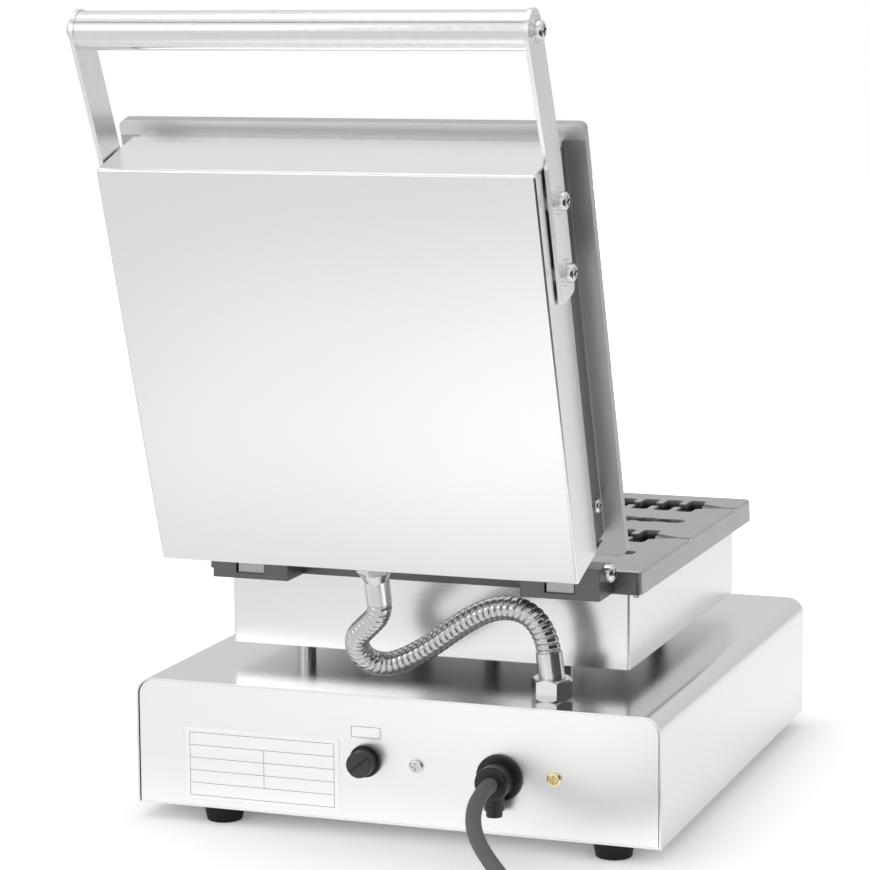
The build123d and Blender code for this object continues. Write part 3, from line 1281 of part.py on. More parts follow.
def conduit_hose():
    """Strip-wound metal hose: each turn a raised band and a groove, with its bore."""
    path, radii = hose_route()
    ribs = round(path.length / HOSE_RIB_PITCH)
    groove = HOSE_RADIUS - HOSE_GROOVE
    profile = [(0.0, groove), (0.1, HOSE_RADIUS), (0.7, HOSE_RADIUS), (0.86, groove)]
    stations = [((rib + share) / ribs, radius) for rib in range(ribs) for share, radius in profile]
    stations.append((1.0, groove))
    outer, inner = [], []
    for share, radius in stations:
        plane = Plane(origin=path @ share, x_dir=(0, 1, 0), z_dir=path % share)
        outer.append(Wire.make_circle(radius, plane))
        inner.append(Wire.make_circle(HOSE_BORE, plane))
    pieces = []
    step = len(profile) * HOSE_LOFT_RIBS
    for first in range(0, len(stations) - 1, step):
        last = first + step + 1
        body = Solid.make_loft(outer[first:last], ruled=True)
        bore = Solid.make_loft(inner[first : last : len(profile)], ruled=True)
        pieces.append(body - bore)
    print("hose length", round(path.length, 1), "ribs", ribs, "radii", [round(r, 1) for r in radii])
    return pieces[0].fuse(*pieces[1:])


# Cord


def cord_start():
    """Floor of the gland's socket, where the cord's free stretch begins."""
    return rear_point(GLAND_X, GLAND_Z, GLAND_FLANGE + GLAND_BODY - GLAND_SOCKET)


def half_turn(start, radius, rise, side):
    """Half turn of the coil from a start point, and where it ends."""
    end = start + Vector(COIL_HAND * side * 2 * radius, 0, rise)
    middle = (start + end) * 0.5 + Vector(0, side * math.hypot(radius, rise / 2), 0)
    return ThreePointArc(start, middle, end), end


def coil_path():
    """Path of the put-away coil: in on the worktop, up a layer, out again, then the tail to the plug."""
    cx, cy = COIL_CENTRE
    here = Vector(cx - COIL_HAND * COIL_RADIUS, cy, CORD_RADIUS + CORD_LIFT)
    spiral = [COIL_RADIUS - step * COIL_PITCH / 2 for step in range(COIL_HALF_TURNS + 1)]
    turns = [(radius, 0.0) for radius in spiral[:-1]]
    turns.append((spiral[-1], COIL_LAYER_RISE))
    turns += [(radius, 0.0) for radius in reversed(spiral[1:-1])]
    edges = []
    side = 1
    for radius, rise in turns:
        edge, here = half_turn(here, radius, rise, side)
        edges.append(edge)
        side = -side
    climb = PLUG_RADIUS + CORD_LIFT - here.Z
    tail = [here + Vector(0, step * TAIL_RUN, climb * (step > 1)) for step in range(4)]
    path, _ = smooth_route([(point.X, point.Y, point.Z) for point in tail])
    return Wire(edges + path.edges())


def coil_gap():
    """Least gap of the coil's tube to itself, measured on points along its path."""
    path = coil_path()
    count = 700
    points = [path @ (i / count) for i in range(count + 1)]
    skip = math.ceil(6 * CORD_RADIUS / (path.length / count))
    least = min(
        (points[i] - points[j]).length
        for i in range(0, count + 1, 2)
        for j in range(i + skip, count + 1)
    )
    return least - 2 * CORD_RADIUS


def cord_run_path():
    """Route of the cord from the gland to the start of the coil."""
    start = coil_path() @ 0
    return smooth_route([cord_start()] + CORD_ROUTE + [(start.X, start.Y, start.Z)])


def cord_run():
    """Free stretch of the cord."""
    path, radii = cord_run_path()
    tube = tube_along(path, CORD_RADIUS)
    expected = math.pi * CORD_RADIUS**2 * path.length
    print("cord run", round(path.length, 1), "volume share", round(tube.volume / expected, 4))
    print("cord radii", [round(r, 1) for r in radii])
    return tube


def cord_coil():
    """Put-away coil of the cord and its tail, one unbroken tube."""
    path = coil_path()
    print("coil length", round(path.length, 1), "least gap", round(coil_gap(), 2))
    return tube_along(path, CORD_RADIUS)


def plug_frame():
    """Plane at the coil's free end, along which the plug points."""
    path = coil_path()
    end = path @ 1
    return Plane(origin=end, z_dir=path % 1)


def plug_body():
    """Round moulded mains plug with a tapered neck, drawn along +Z from the cord's end."""
    plug = Pos(0, 0, PLUG_NECK / 2) * Cone(CORD_RADIUS + 1.2, PLUG_NECK_RADIUS, PLUG_NECK)
    shoulder = Pos(0, 0, PLUG_NECK + 4) * Cone(PLUG_NECK_RADIUS, PLUG_RADIUS, 8)
    body = Pos(0, 0, PLUG_NECK + 8) * extrude(Circle(PLUG_RADIUS), amount=PLUG_BODY - 8)
    return plug + shoulder + body


def plug_pins():
    """Two round pins of the plug."""
    base = PLUG_NECK + PLUG_BODY
    pins = []
    for side in (-1, 1):
        x = side * PLUG_PIN_SPREAD / 2
        pin = rod(PLUG_PIN_RADIUS, (x, 0, base), (x, 0, base + PLUG_PIN_LENGTH))
        pins.append(fillet(pin.edges().sort_by(Axis.Z)[-1], 1.0))
    return pins


# Writing the parts


def frame_shift():
    """Y of the middle of the object without its cord, from the knobs' faces to the open grip."""
    front = -PANEL_OUTER - CONTROL_PLATE_THICKNESS - KNOB_STANDOFF - KNOB_LENGTH
    y, z = lid_point(GRIP_FROM_HINGE, GRIP_UP)
    grip = opened_point((0, y, z))
    return (front + grip[1] + ARM_WIDTH / 2) / 2


SHIFT = Pos(0, -frame_shift(), 0)


def write(name, shape):
    """Move a part, or a group of separate solids, to the row's origin and write it."""
    pieces = shape if isinstance(shape, list) else [shape]
    solids = []
    for piece in pieces:
        solids += (SHIFT * piece).solids()
    whole = solids[0] if len(solids) == 1 else Compound(children=solids)
    whole.label = name
    export_step(whole, "parts/" + name + ".step")


def write_lid(name, shape):
    """Write a lid piece that is drawn closed at its open place."""
    pieces = shape if isinstance(shape, list) else [shape]
    write(name, [opened(piece) for piece in pieces])


def write_base():
    """Write the base, its panels and feet."""
    write("base_housing", base_housing())
    write("rear_panel", rear_panel())
    write("front_panel", end_panel(False, control_holes()))
    write("control_plate", control_plate())
    write("bottom_plate", bottom_plate())
    write("rubber_feet", [rubber_foot(x, y) for x, y in FOOT_PLACES])
    write("foot_screws", [foot_screw(x, y) for x, y in FOOT_PLACES])
    write("terminal_block", terminal_block())
    write("wiring_loom", wiring_loom())


def write_heater_box():
    """Write the standoffs, the box and all that is in it."""
    write("standoffs", [standoff(x, y) for x, y in STANDOFF_PLACES])
    write("standoff_bolts", [standoff_bolt(x, y) for x, y in STANDOFF_PLACES])
    write("wiring_tube", wiring_tube())
    write("lower_box", lower_box())
    write("lower_plate", lower_plate())
    write("rim_screws", [rim_screw(x, y) for x, y in RIM_SCREW_PLACES])
    write("lower_heater", heater(BOSS_BOTTOM))
    write("lower_heater_clamps", [heater_clamp(row, BOSS_BOTTOM, -1) for row in (-1, 1)])
    write("plate_bolts", [plate_bolt(x, y) for x, y in CLAMP_BOLT_PLACES])
    write("lower_insulation", lower_insulation())
    write("sensor_capillary", sensor_capillary())
    write("hinge_bolts", [hinge_bolt(side) for side in (-1, 1)])
    write("hinge_nuts", [hinge_nut(side) for side in (-1, 1)])


def write_rear_fittings():
    """Write what is fixed in the rear panel."""
    write("reset_bushing", reset_bushing())
    write("limit_switch", limit_switch())
    write("reset_pin", reset_pin())
    write("reset_cap", reset_cap())
    write("cable_gland", cable_gland())
    write("gland_clamp_screw", gland_clamp_screw())
    write("gland_nut", gland_nut())
    write("earth_screw", rear_screw(EARTH_X, EARTH_Z, 12))
    write("panel_screw", rear_screw(PANEL_SCREW_X, PANEL_SCREW_Z, 8))
    rating_plate = rear_label(LABEL_X, LABEL_Z, LABEL_WIDTH, LABEL_HEIGHT)
    reset_label = rear_label(RESET_X, RESET_Z + RESET_LABEL_RISE, RESET_LABEL_WIDTH, RESET_LABEL_HEIGHT)
    write("rear_labels", [rating_plate, reset_label])


def write_controls():
    """Write the front controls."""
    write("thermostat_body", control_body(-1, THERMOSTAT_SIZE))
    write("timer_body", control_body(1, TIMER_SIZE))
    write("temperature_shaft", control_shaft(-1))
    write("timer_shaft", control_shaft(1))
    write("temperature_knob", control_knob(-1))
    write("timer_knob", control_knob(1))
    write("power_lamp", pilot_lamp(-1))
    write("heating_lamp", pilot_lamp(1))


def write_lid_parts():
    """Write the lid, its heater and the handle."""
    write_lid("upper_plate", upper_plate())
    write_lid("lid_cover", lid_cover())
    clamp_screws = [upper_clamp_screw(x, y) for x, y in CLAMP_BOLT_PLACES]
    write_lid("lid_screws", clamp_screws + [side_screw(side) for side in (-1, 1)])
    level = UPPER_FACE + UPPER_BODY
    write_lid("upper_heater", heater(level))
    write_lid("upper_heater_clamps", [heater_clamp(row, level, 1) for row in (-1, 1)])
    write_lid("upper_insulation", upper_insulation())
    write_lid("handle_arm_left", handle_arm(1))
    write_lid("handle_arm_right", handle_arm(-1))
    write_lid("handle_grip", handle_grip())
    places = arm_screw_places()
    sides = (-1, 1)
    write_lid("handle_screws", [handle_screw(side, place) for side in sides for place in places])
    outer = ARM_OUTER + WASHER_THICKNESS
    write_lid(
        "handle_washers", [ring(side, ARM_OUTER, outer, place, WASHER_RADIUS) for side in sides for place in places]
    )
    write_lid(
        "handle_spacers",
        [ring(side, BOX_WIDTH / 2, ARM_INNER, place, WASHER_RADIUS) for side in sides for place in places[:2]],
    )


def write_conduit():
    """Write the conduit hose and its fittings."""
    write("conduit_nut", conduit_nut())
    write("conduit_sleeve_lower", conduit_sleeve_lower())
    write_lid("conduit_sleeve_upper", conduit_sleeve_upper())
    write("conduit_hose", conduit_hose())


def write_cord():
    """Write the mains cord, its coil and its plug."""
    write("cord_run", cord_run())
    write("cord_coil", cord_coil())
    frame = plug_frame().location
    write("plug_body", frame * plug_body())
    write("plug_pins", [frame * pin for pin in plug_pins()])


write_base()
write_heater_box()
write_rear_fittings()
write_controls()
write_lid_parts()
write_conduit()
write_cord()
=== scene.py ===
"""Studio scene of a countertop waffle-on-a-stick maker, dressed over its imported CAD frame."""

import logging
import math
from dataclasses import dataclass
from enum import Enum

import bmesh
import bpy
from mathutils import Matrix, Vector


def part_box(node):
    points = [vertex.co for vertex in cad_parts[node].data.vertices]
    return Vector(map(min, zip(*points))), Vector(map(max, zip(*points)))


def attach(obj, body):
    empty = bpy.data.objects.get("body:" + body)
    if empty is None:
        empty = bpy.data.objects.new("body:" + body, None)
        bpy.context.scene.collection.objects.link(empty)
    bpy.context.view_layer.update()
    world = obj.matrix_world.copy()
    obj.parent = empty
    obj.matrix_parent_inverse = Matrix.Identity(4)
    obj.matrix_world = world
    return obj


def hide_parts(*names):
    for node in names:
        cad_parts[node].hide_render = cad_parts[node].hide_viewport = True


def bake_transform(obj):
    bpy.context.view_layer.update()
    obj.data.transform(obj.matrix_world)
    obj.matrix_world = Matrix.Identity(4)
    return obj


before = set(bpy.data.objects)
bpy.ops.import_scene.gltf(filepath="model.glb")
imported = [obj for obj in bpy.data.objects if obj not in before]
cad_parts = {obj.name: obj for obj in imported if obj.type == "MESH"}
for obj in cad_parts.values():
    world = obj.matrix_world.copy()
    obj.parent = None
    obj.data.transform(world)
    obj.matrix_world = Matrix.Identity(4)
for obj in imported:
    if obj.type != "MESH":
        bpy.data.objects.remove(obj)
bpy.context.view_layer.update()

log = logging.getLogger("waffle_maker")

MM = 1000.0
CURVE_STEPS = 12

Pair = tuple[float, float]
Point = tuple[float, float, float]
Colour = tuple[float, float, float]
Levels = tuple[Pair, ...]
Bar = tuple[Vector, Vector]
Socket = bpy.types.NodeSocket
Node = bpy.types.Node
Finish = bpy.types.Material
Piece = bpy.types.Object


def base_centre() -> Vector:
    """Middle of the base housing, the point that drawn places are measured from."""
    low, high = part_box("base_housing")
    return (Vector(low) + Vector(high)) / 2


def placed(x: float, y: float, z: float) -> Vector:
    """Point in metres, from millimetres right of and behind the base's middle and above the floor."""
    return Vector((x, y, z)) / MM + Vector((0.0, base_centre().y, 0.0))


def stand(name: str, data: bpy.types.ID) -> Piece:
    """Put a new object into the scene.

    Args:
        name: Name of the object.
        data: Its mesh, curve, lamp or camera.

    Returns:
        The new object.
    """
    made = bpy.data.objects.new(name, data)
    bpy.context.scene.collection.objects.link(made)
    return made


def take_mesh(source: Piece) -> bpy.types.Mesh:
    """Turn an object, with its modifiers, into a plain mesh.

    Args:
        source: The object; it is removed.

    Returns:
        The mesh.
    """
    graph = bpy.context.evaluated_depsgraph_get()
    mesh = bpy.data.meshes.new_from_object(source.evaluated_get(graph))
    bpy.data.objects.remove(source)
    return mesh


def piece_of(build: bmesh.types.BMesh, name: str, finish: Finish) -> Piece:
    """Make a piece from a mesh under construction, which is freed.

    Args:
        build: The mesh under construction.
        name: Name of the piece.
        finish: Finish of the piece.

    Returns:
        The new piece.
    """
    mesh = bpy.data.meshes.new(name)
    build.to_mesh(mesh)
    build.free()
    mesh.materials.append(finish)
    return stand(name, mesh)


class Body(Enum):
    """The moving groups that a piece can ride on."""

    BASE = "base"
    LID = "lid"
    TEMPERATURE = "temperature_control"
    TIMER = "timer_control"


class Tree:
    """Adds nodes to one node tree and joins them."""

    pattern_range: Pair = (0.25, 0.75)

    def __init__(self, tree: bpy.types.NodeTree) -> None:
        """Work on a node tree."""
        self.tree = tree

    def feed(self, node: Node, inputs: dict[str | int, object]) -> None:
        """Join inputs of a node to outputs, or set them.

        Args:
            node: The node to feed.
            inputs: An output or a plain value for each named or numbered input.
        """
        for name, value in inputs.items():
            if isinstance(value, Socket):
                self.tree.links.new(value, node.inputs[name])
            else:
                node.inputs[name].default_value = value

    def node(self, kind: str, inputs: dict[str | int, object] | None = None, **settings: object) -> Node:
        """Add a node.

        Args:
            kind: Type name of the node.
            inputs: An output or a plain value for each named or numbered input.
            **settings: Properties to set on the node.

        Returns:
            The new node.
        """
        made = self.tree.nodes.new(kind)
        for name, value in settings.items():
            setattr(made, name, value)
        self.feed(made, inputs or {})
        return made

    def math(self, operation: str, *values: Socket | float) -> Socket:
        """Result of an operation on outputs or numbers."""
        return self.node("ShaderNodeMath", dict(enumerate(values)), operation=operation).outputs[0]

    def vector(self, operation: str, *values: Socket | Vector) -> Socket:
        """Result of an operation on vectors."""
        return self.node("ShaderNodeVectorMath", dict(enumerate(values)), operation=operation).outputs[0]

    def times(self, first: Socket, second: Socket) -> Socket:
        """Multiply two levels."""
        return self.math("MULTIPLY", first, second)

    def plus(self, first: Socket, second: Socket) -> Socket:
        """Add two levels."""
        return self.math("ADD", first, second)

    def split(self, point: Socket) -> bpy.types.NodeOutputs:
        """X, Y and Z of a point."""
        return self.node("ShaderNodeSeparateXYZ", {0: point}).outputs

    def spread(self, source: Socket, low: float, high: float, span: Pair = pattern_range) -> Socket:
        """Stretch a range of a source to two values.

        Args:
            source: The source's output.
            low: Value where the range starts.
            high: Value where it ends.
            span: The range of the source, by default a pattern's middle range.

        Returns:
            The stretched output.
        """
        start, end = span
        inputs = {"Value": source, "From Min": start, "From Max": end, "To Min": low, "To Max": high}
        return self.node("ShaderNodeMapRange", inputs).outputs["Result"]

    def between(self, source: Socket, start: float, end: float, most: float = 1.0) -> Socket:
        """Level that rises from 0 at one length to its most at another."""
        return self.spread(source, 0.0, most, (start, end))

    def mix(self, share: Socket, first: Socket | float, second: Socket | float) -> Socket:
        """Mix two levels by a share; the node's inputs share their names, so they go by number."""
        return self.node("ShaderNodeMix", {0: share, 2: first, 3: second}).outputs[0]

    def graded(self, share: Socket, levels: Levels) -> Socket:
        """Read a level off a share, with smooth steps.

        Args:
            share: The share's output, 0 to 1.
            levels: Pairs of share and level, in order.

        Returns:
            The level's output.
        """
        made = self.node("ShaderNodeValToRGB", {"Fac": share})
        made.color_ramp.interpolation = "EASE"
        stops = made.color_ramp.elements
        while len(stops) < len(levels):
            stops.new(1.0)
        for stop, (where, level) in zip(stops, levels):
            stop.position = where
            stop.color = (level, level, level, 1.0)
        return made.outputs["Color"]

    def ramp(self, source: Socket, low: float, high: float, levels: Levels) -> Socket:
        """Read a smooth level off a length, with the levels' places 0 at its low and 1 at its high end."""
        return self.graded(self.between(source, low, high), levels)

    def beyond(self, point: Socket, middle: Vector, half: Vector) -> Socket:
        """How far a point lies outside an upright box.

        Args:
            point: The point's output.
            middle: Middle of the box.
            half: Half its size.

        Returns:
            The distance's output, zero inside the box.
        """
        away = self.vector("ABSOLUTE", self.vector("SUBTRACT", point, middle))
        past = self.vector("MAXIMUM", self.vector("SUBTRACT", away, half))
        return self.node("ShaderNodeVectorMath", {0: past}, operation="LENGTH").outputs["Value"]


class Shader(Tree):
    """Builds one material."""

    bevel_samples: int = 4

    def __init__(self, name: str) -> None:
        """Start a material that has its standard surface and output.

        Args:
            name: Name of the material.
        """
        self.material = bpy.data.materials.new(name)
        self.material.use_nodes = True
        super().__init__(self.material.node_tree)
        self.surface = self.tree.nodes["Principled BSDF"]
        self.output = self.tree.nodes["Material Output"]
        self.place = self.node("ShaderNodeTexCoord").outputs["Object"]

    def noise(self, scale: float, detail: float, stretch: Point = (1.0, 1.0, 1.0)) -> Socket:
        """Add a noise pattern over the piece.

        Args:
            scale: Overall scale.
            detail: Octaves of finer noise.
            stretch: Scale of the pattern along X, Y and Z.

        Returns:
            The pattern's value output.
        """
        mapped = self.node("ShaderNodeMapping", {"Scale": stretch, "Vector": self.place}).outputs["Vector"]
        inputs = {"Scale": scale, "Detail": detail, "Vector": mapped}
        return self.node("ShaderNodeTexNoise", inputs).outputs["Fac"]

    def blend(self, amount: Socket, first: Socket | Colour, second: Colour) -> Socket:
        """Mix two colours by a pattern; the node's inputs share their names, so they go by number.

        Args:
            amount: Pattern between 0 and 1.
            first: Output or colour where the pattern is 0.
            second: Colour where it is 1.

        Returns:
            The mixed colour output.
        """
        start = first if isinstance(first, Socket) else (*first, 1.0)
        inputs = {0: amount, 6: start, 7: (*second, 1.0)}
        return self.node("ShaderNodeMix", inputs, data_type="RGBA").outputs[2]

    def mottled(self, pattern: Socket, colour: Colour, tones: Pair) -> Socket:
        """Colour with one factor where a pattern is 0 and another where it is 1."""
        dark, light = (tuple(min(channel * tone, 1.0) for channel in colour) for tone in tones)
        return self.blend(pattern, dark, light)

    def bump(self, height: Socket, strength: float, distance: float, edge: float | None = None) -> None:
        """Give the surface fine relief.

        Args:
            height: Pattern to read as height.
            strength: How much of the relief shows.
            distance: Height of the relief in metres.
            edge: Radius in metres that softens the sharp edges under the relief.
        """
        inputs = {"Height": height, "Strength": strength, "Distance": distance}
        if edge is not None:
            bevel = self.node("ShaderNodeBevel", {"Radius": edge}, samples=self.bevel_samples)
            inputs["Normal"] = bevel.outputs["Normal"]
        self.feed(self.surface, {"Normal": self.node("ShaderNodeBump", inputs).outputs["Normal"]})

    def finish(self, tint: Socket | tuple[float, ...], roughness: Socket | float, **others: float) -> Finish:
        """End the material with its colour, its roughness and its other values.

        Args:
            tint: Output or value of the base colour.
            roughness: Output or value of the roughness.
            **others: Further inputs of the surface, with underscores for spaces.

        Returns:
            The finished material.
        """
        inputs = {name.replace("_", " "): value for name, value in others.items()}
        self.feed(self.surface, {"Base Color": tint, "Roughness": roughness, **inputs})
        return self.material


@dataclass(frozen=True)
class SheetSteel:
    """Rolled stainless sheet with fine brush marks along X and faint wiping marks."""

    name: str
    colour: Colour = (0.83, 0.83, 0.825)
    roughness: float = 0.24
    tones: Pair = (0.985, 1.015)
    grain: Point = (6.0, 700.0, 700.0)
    wiping: Point = (3.0, 3.0, 5.0)
    marks: float = 0.015
    smears: float = 0.012
    edge: float = 0.0005

    def build(self) -> Finish:
        """Make the finish's material.

        Returns:
            The material.
        """
        shader = Shader(self.name)
        streaks = shader.noise(scale=1.0, detail=3.0, stretch=self.grain)
        wiped = shader.noise(scale=2.0, detail=4.0, stretch=self.wiping)
        fine = shader.spread(streaks, self.roughness - self.marks, self.roughness + self.marks)
        rough = shader.plus(fine, shader.spread(wiped, -self.smears, self.smears))
        shader.bump(streaks, strength=0.01, distance=0.00001, edge=self.edge)
        return shader.finish(shader.mottled(streaks, self.colour, self.tones), rough, Metallic=1.0)


@dataclass(frozen=True)
class TurnedMetal:
    """Plated or polished metal part such as a screw, sleeve, tube or nut."""

    name: str
    colour: Colour
    roughness: float
    mottle: float = 0.04
    tones: Pair = (0.93, 1.05)
    clouds: Point = (60.0, 60.0, 60.0)
    pits: Point = (900.0, 900.0, 900.0)
    edge: float = 0.0003

    def build(self) -> Finish:
        """Make the finish's material.

        Returns:
            The material.
        """
        shader = Shader(self.name)
        cloud = shader.noise(scale=4.0, detail=3.0, stretch=self.clouds)
        fine = shader.noise(scale=1.0, detail=2.0, stretch=self.pits)
        rough = shader.spread(cloud, self.roughness - self.mottle, self.roughness + self.mottle)
        shader.bump(fine, strength=0.08, distance=0.00003, edge=self.edge)
        return shader.finish(shader.mottled(cloud, self.colour, self.tones), rough, Metallic=1.0)


@dataclass(frozen=True)
class CastPlate:
    """Cast mould plate: fine skin, moulds darkened by baked-on oil and painted shade, painted shade on the
    walls behind the rim and at the lower plate's hinge end, and a painted highlight on the upper plate's
    front rim.

    Places and depths are in millimetres on the closed plate, measured from the base's middle, and
    the fade between two tones is in metres.
    """

    name: str
    face: float
    pocket_side: int
    open_angle: float = 0.0
    colour: Colour = (0.46, 0.46, 0.46)
    tones: Pair = (0.92, 1.08)
    # dark colour of the moulds' baked-on oil with painted shade, and of the painted shade on the walls and at
    # the hinge end
    baked_and_shaded: Colour = (0.07, 0.07, 0.07)
    # pale colour of the painted highlight on the back of the upper plate's front rim
    rim_highlight: Colour = (0.7, 0.7, 0.695)
    roughness: float = 0.38
    smoother: float = 0.08
    rougher: float = 0.1
    middle: Pair = (0.0, -4.5)
    half: Point = (139.0, 130.0, 50.0)
    pocket_depth: float = 4.0
    pocket_floor: Pair = (8.95, 9.1)
    walls: Pair = (10.0, 10.6)
    wall_shade: float = 0.6
    hinge: Point = (0.0, 149.0, 167.5)
    hinge_end: float = 131.2
    hinge_shade: float = 0.8
    front_end: float = -131.5
    fade: float = 0.0005

    def closed(self, shader: Shader) -> Socket:
        """A point's place on the closed plate."""
        back = {"Vector": shader.place, "Center": placed(*self.hinge), "Angle": math.radians(self.open_angle)}
        return shader.node("ShaderNodeVectorRotate", back, rotation_type="X_AXIS").outputs[0]

    def black(self, shader: Shader, point: Socket, height: Socket) -> Socket:
        """How dark a point is painted: most in the moulds, as baked-on oil with painted shade, and some
        painted shade on the walls behind the rim.

        Args:
            shader: The plate's shader.
            point: The point on the closed plate.
            height: Its height.

        Returns:
            The share's output, 0 on the face.
        """
        away = shader.beyond(point, placed(*self.middle, self.face), Vector(self.half) / MM)
        inside = shader.between(away, self.fade, 0.0)
        depths = (0.0, self.pocket_depth, *self.pocket_floor, *self.walls)
        levels = ((self.face + self.pocket_side * depth) / MM for depth in depths)
        face, dark, floor, back, rim, wall = levels
        # the moulds darken with depth: baked-on oil with painted shade
        mould = shader.times(shader.between(height, face, dark), shader.between(height, back, floor))
        # painted shade on the walls behind the rim
        return shader.times(inside, shader.plus(mould, shader.between(height, rim, wall, self.wall_shade)))

    def build(self) -> Finish:
        """Make the finish's material.

        Returns:
            The material.
        """
        shader = Shader(self.name)
        sand = shader.noise(scale=1100.0, detail=4.0)
        patch = shader.noise(scale=26.0, detail=4.0)
        tint = shader.mottled(patch, self.colour, self.tones)
        point = self.closed(shader)
        split = shader.split(point)
        # moulds and walls take the dark colour: baked-on oil with painted shade
        tint = shader.blend(self.black(shader, point, split["Z"]), tint, self.baked_and_shaded)
        if self.pocket_side < 0:
            # painted shade on the lower plate's hinge end, where the lugs' rear faces lie in shade
            rear = placed(0.0, self.hinge_end, 0.0).y
            hinge = shader.between(split["Y"], rear - self.fade, rear, self.hinge_shade)
            tint = shader.blend(hinge, tint, self.baked_and_shaded)
        else:
            # painted highlight on the back of the upper plate's front rim, standing in for its bright
            # reflection
            front = placed(0.0, self.front_end, 0.0).y
            floor, back = ((self.face + depth) / MM for depth in self.pocket_floor)
            behind = shader.between(split["Z"], floor, back)
            ahead = shader.between(split["Y"], front, front - self.fade)
            tint = shader.blend(shader.times(behind, ahead), tint, self.rim_highlight)
        rough = shader.spread(sand, self.roughness - self.smoother, self.roughness + self.rougher)
        shader.bump(sand, strength=0.1, distance=0.00005, edge=0.0007)
        return shader.finish(tint, rough, Metallic=0.9)


@dataclass(frozen=True)
class Moulded:
    """Moulded plastic or rubber with a fine matt skin."""

    name: str
    colour: Colour
    roughness: float
    skin: float = 0.0001
    coat: float = 0.0
    shine: float = 0.5
    tones: Pair = (0.85, 1.2)
    smoother: float = 0.06
    rougher: float = 0.08

    def build(self) -> Finish:
        """Make the finish's material.

        Returns:
            The material.
        """
        shader = Shader(self.name)
        pores = shader.noise(scale=900.0, detail=3.0)
        dust = shader.noise(scale=45.0, detail=4.0)
        tint = shader.mottled(dust, self.colour, self.tones)
        rough = shader.spread(dust, self.roughness - self.smoother, self.roughness + self.rougher)
        shader.bump(pores, strength=0.3, distance=self.skin, edge=0.0003)
        return shader.finish(tint, rough, Coat_Weight=self.coat, Specular_IOR_Level=self.shine)


@dataclass(frozen=True)
class Lens:
    """Clear coloured lens of a pilot lamp."""

    name: str
    colour: Colour
    tones: Pair = (0.9, 1.1)
    roughness: float = 0.12

    def build(self) -> Finish:
        """Make the finish's material.

        Returns:
            The material.
        """
        shader = Shader(self.name)
        ribs = shader.noise(scale=500.0, detail=1.0)
        tint = shader.mottled(ribs, self.colour, self.tones)
        shader.bump(ribs, strength=0.1, distance=0.0001)
        return shader.finish(tint, self.roughness, Transmission_Weight=0.4, IOR=1.49)


@dataclass(frozen=True)
class Fibre:
    """Felted ceramic fibre or woven sleeving."""

    name: str
    colour: Colour
    tones: Pair = (0.75, 1.1)
    roughness: float = 0.9
    weave: Point = (60.0, 380.0, 380.0)

    def build(self) -> Finish:
        """Make the finish's material.

        Returns:
            The material.
        """
        shader = Shader(self.name)
        strands = shader.noise(scale=2.0, detail=5.0, stretch=self.weave)
        tint = shader.mottled(strands, self.colour, self.tones)
        shader.bump(strands, strength=0.8, distance=0.0006)
        return shader.finish(tint, self.roughness, Sheen_Weight=0.3)


Look = SheetSteel | TurnedMetal | CastPlate | Moulded | Lens | Fibre


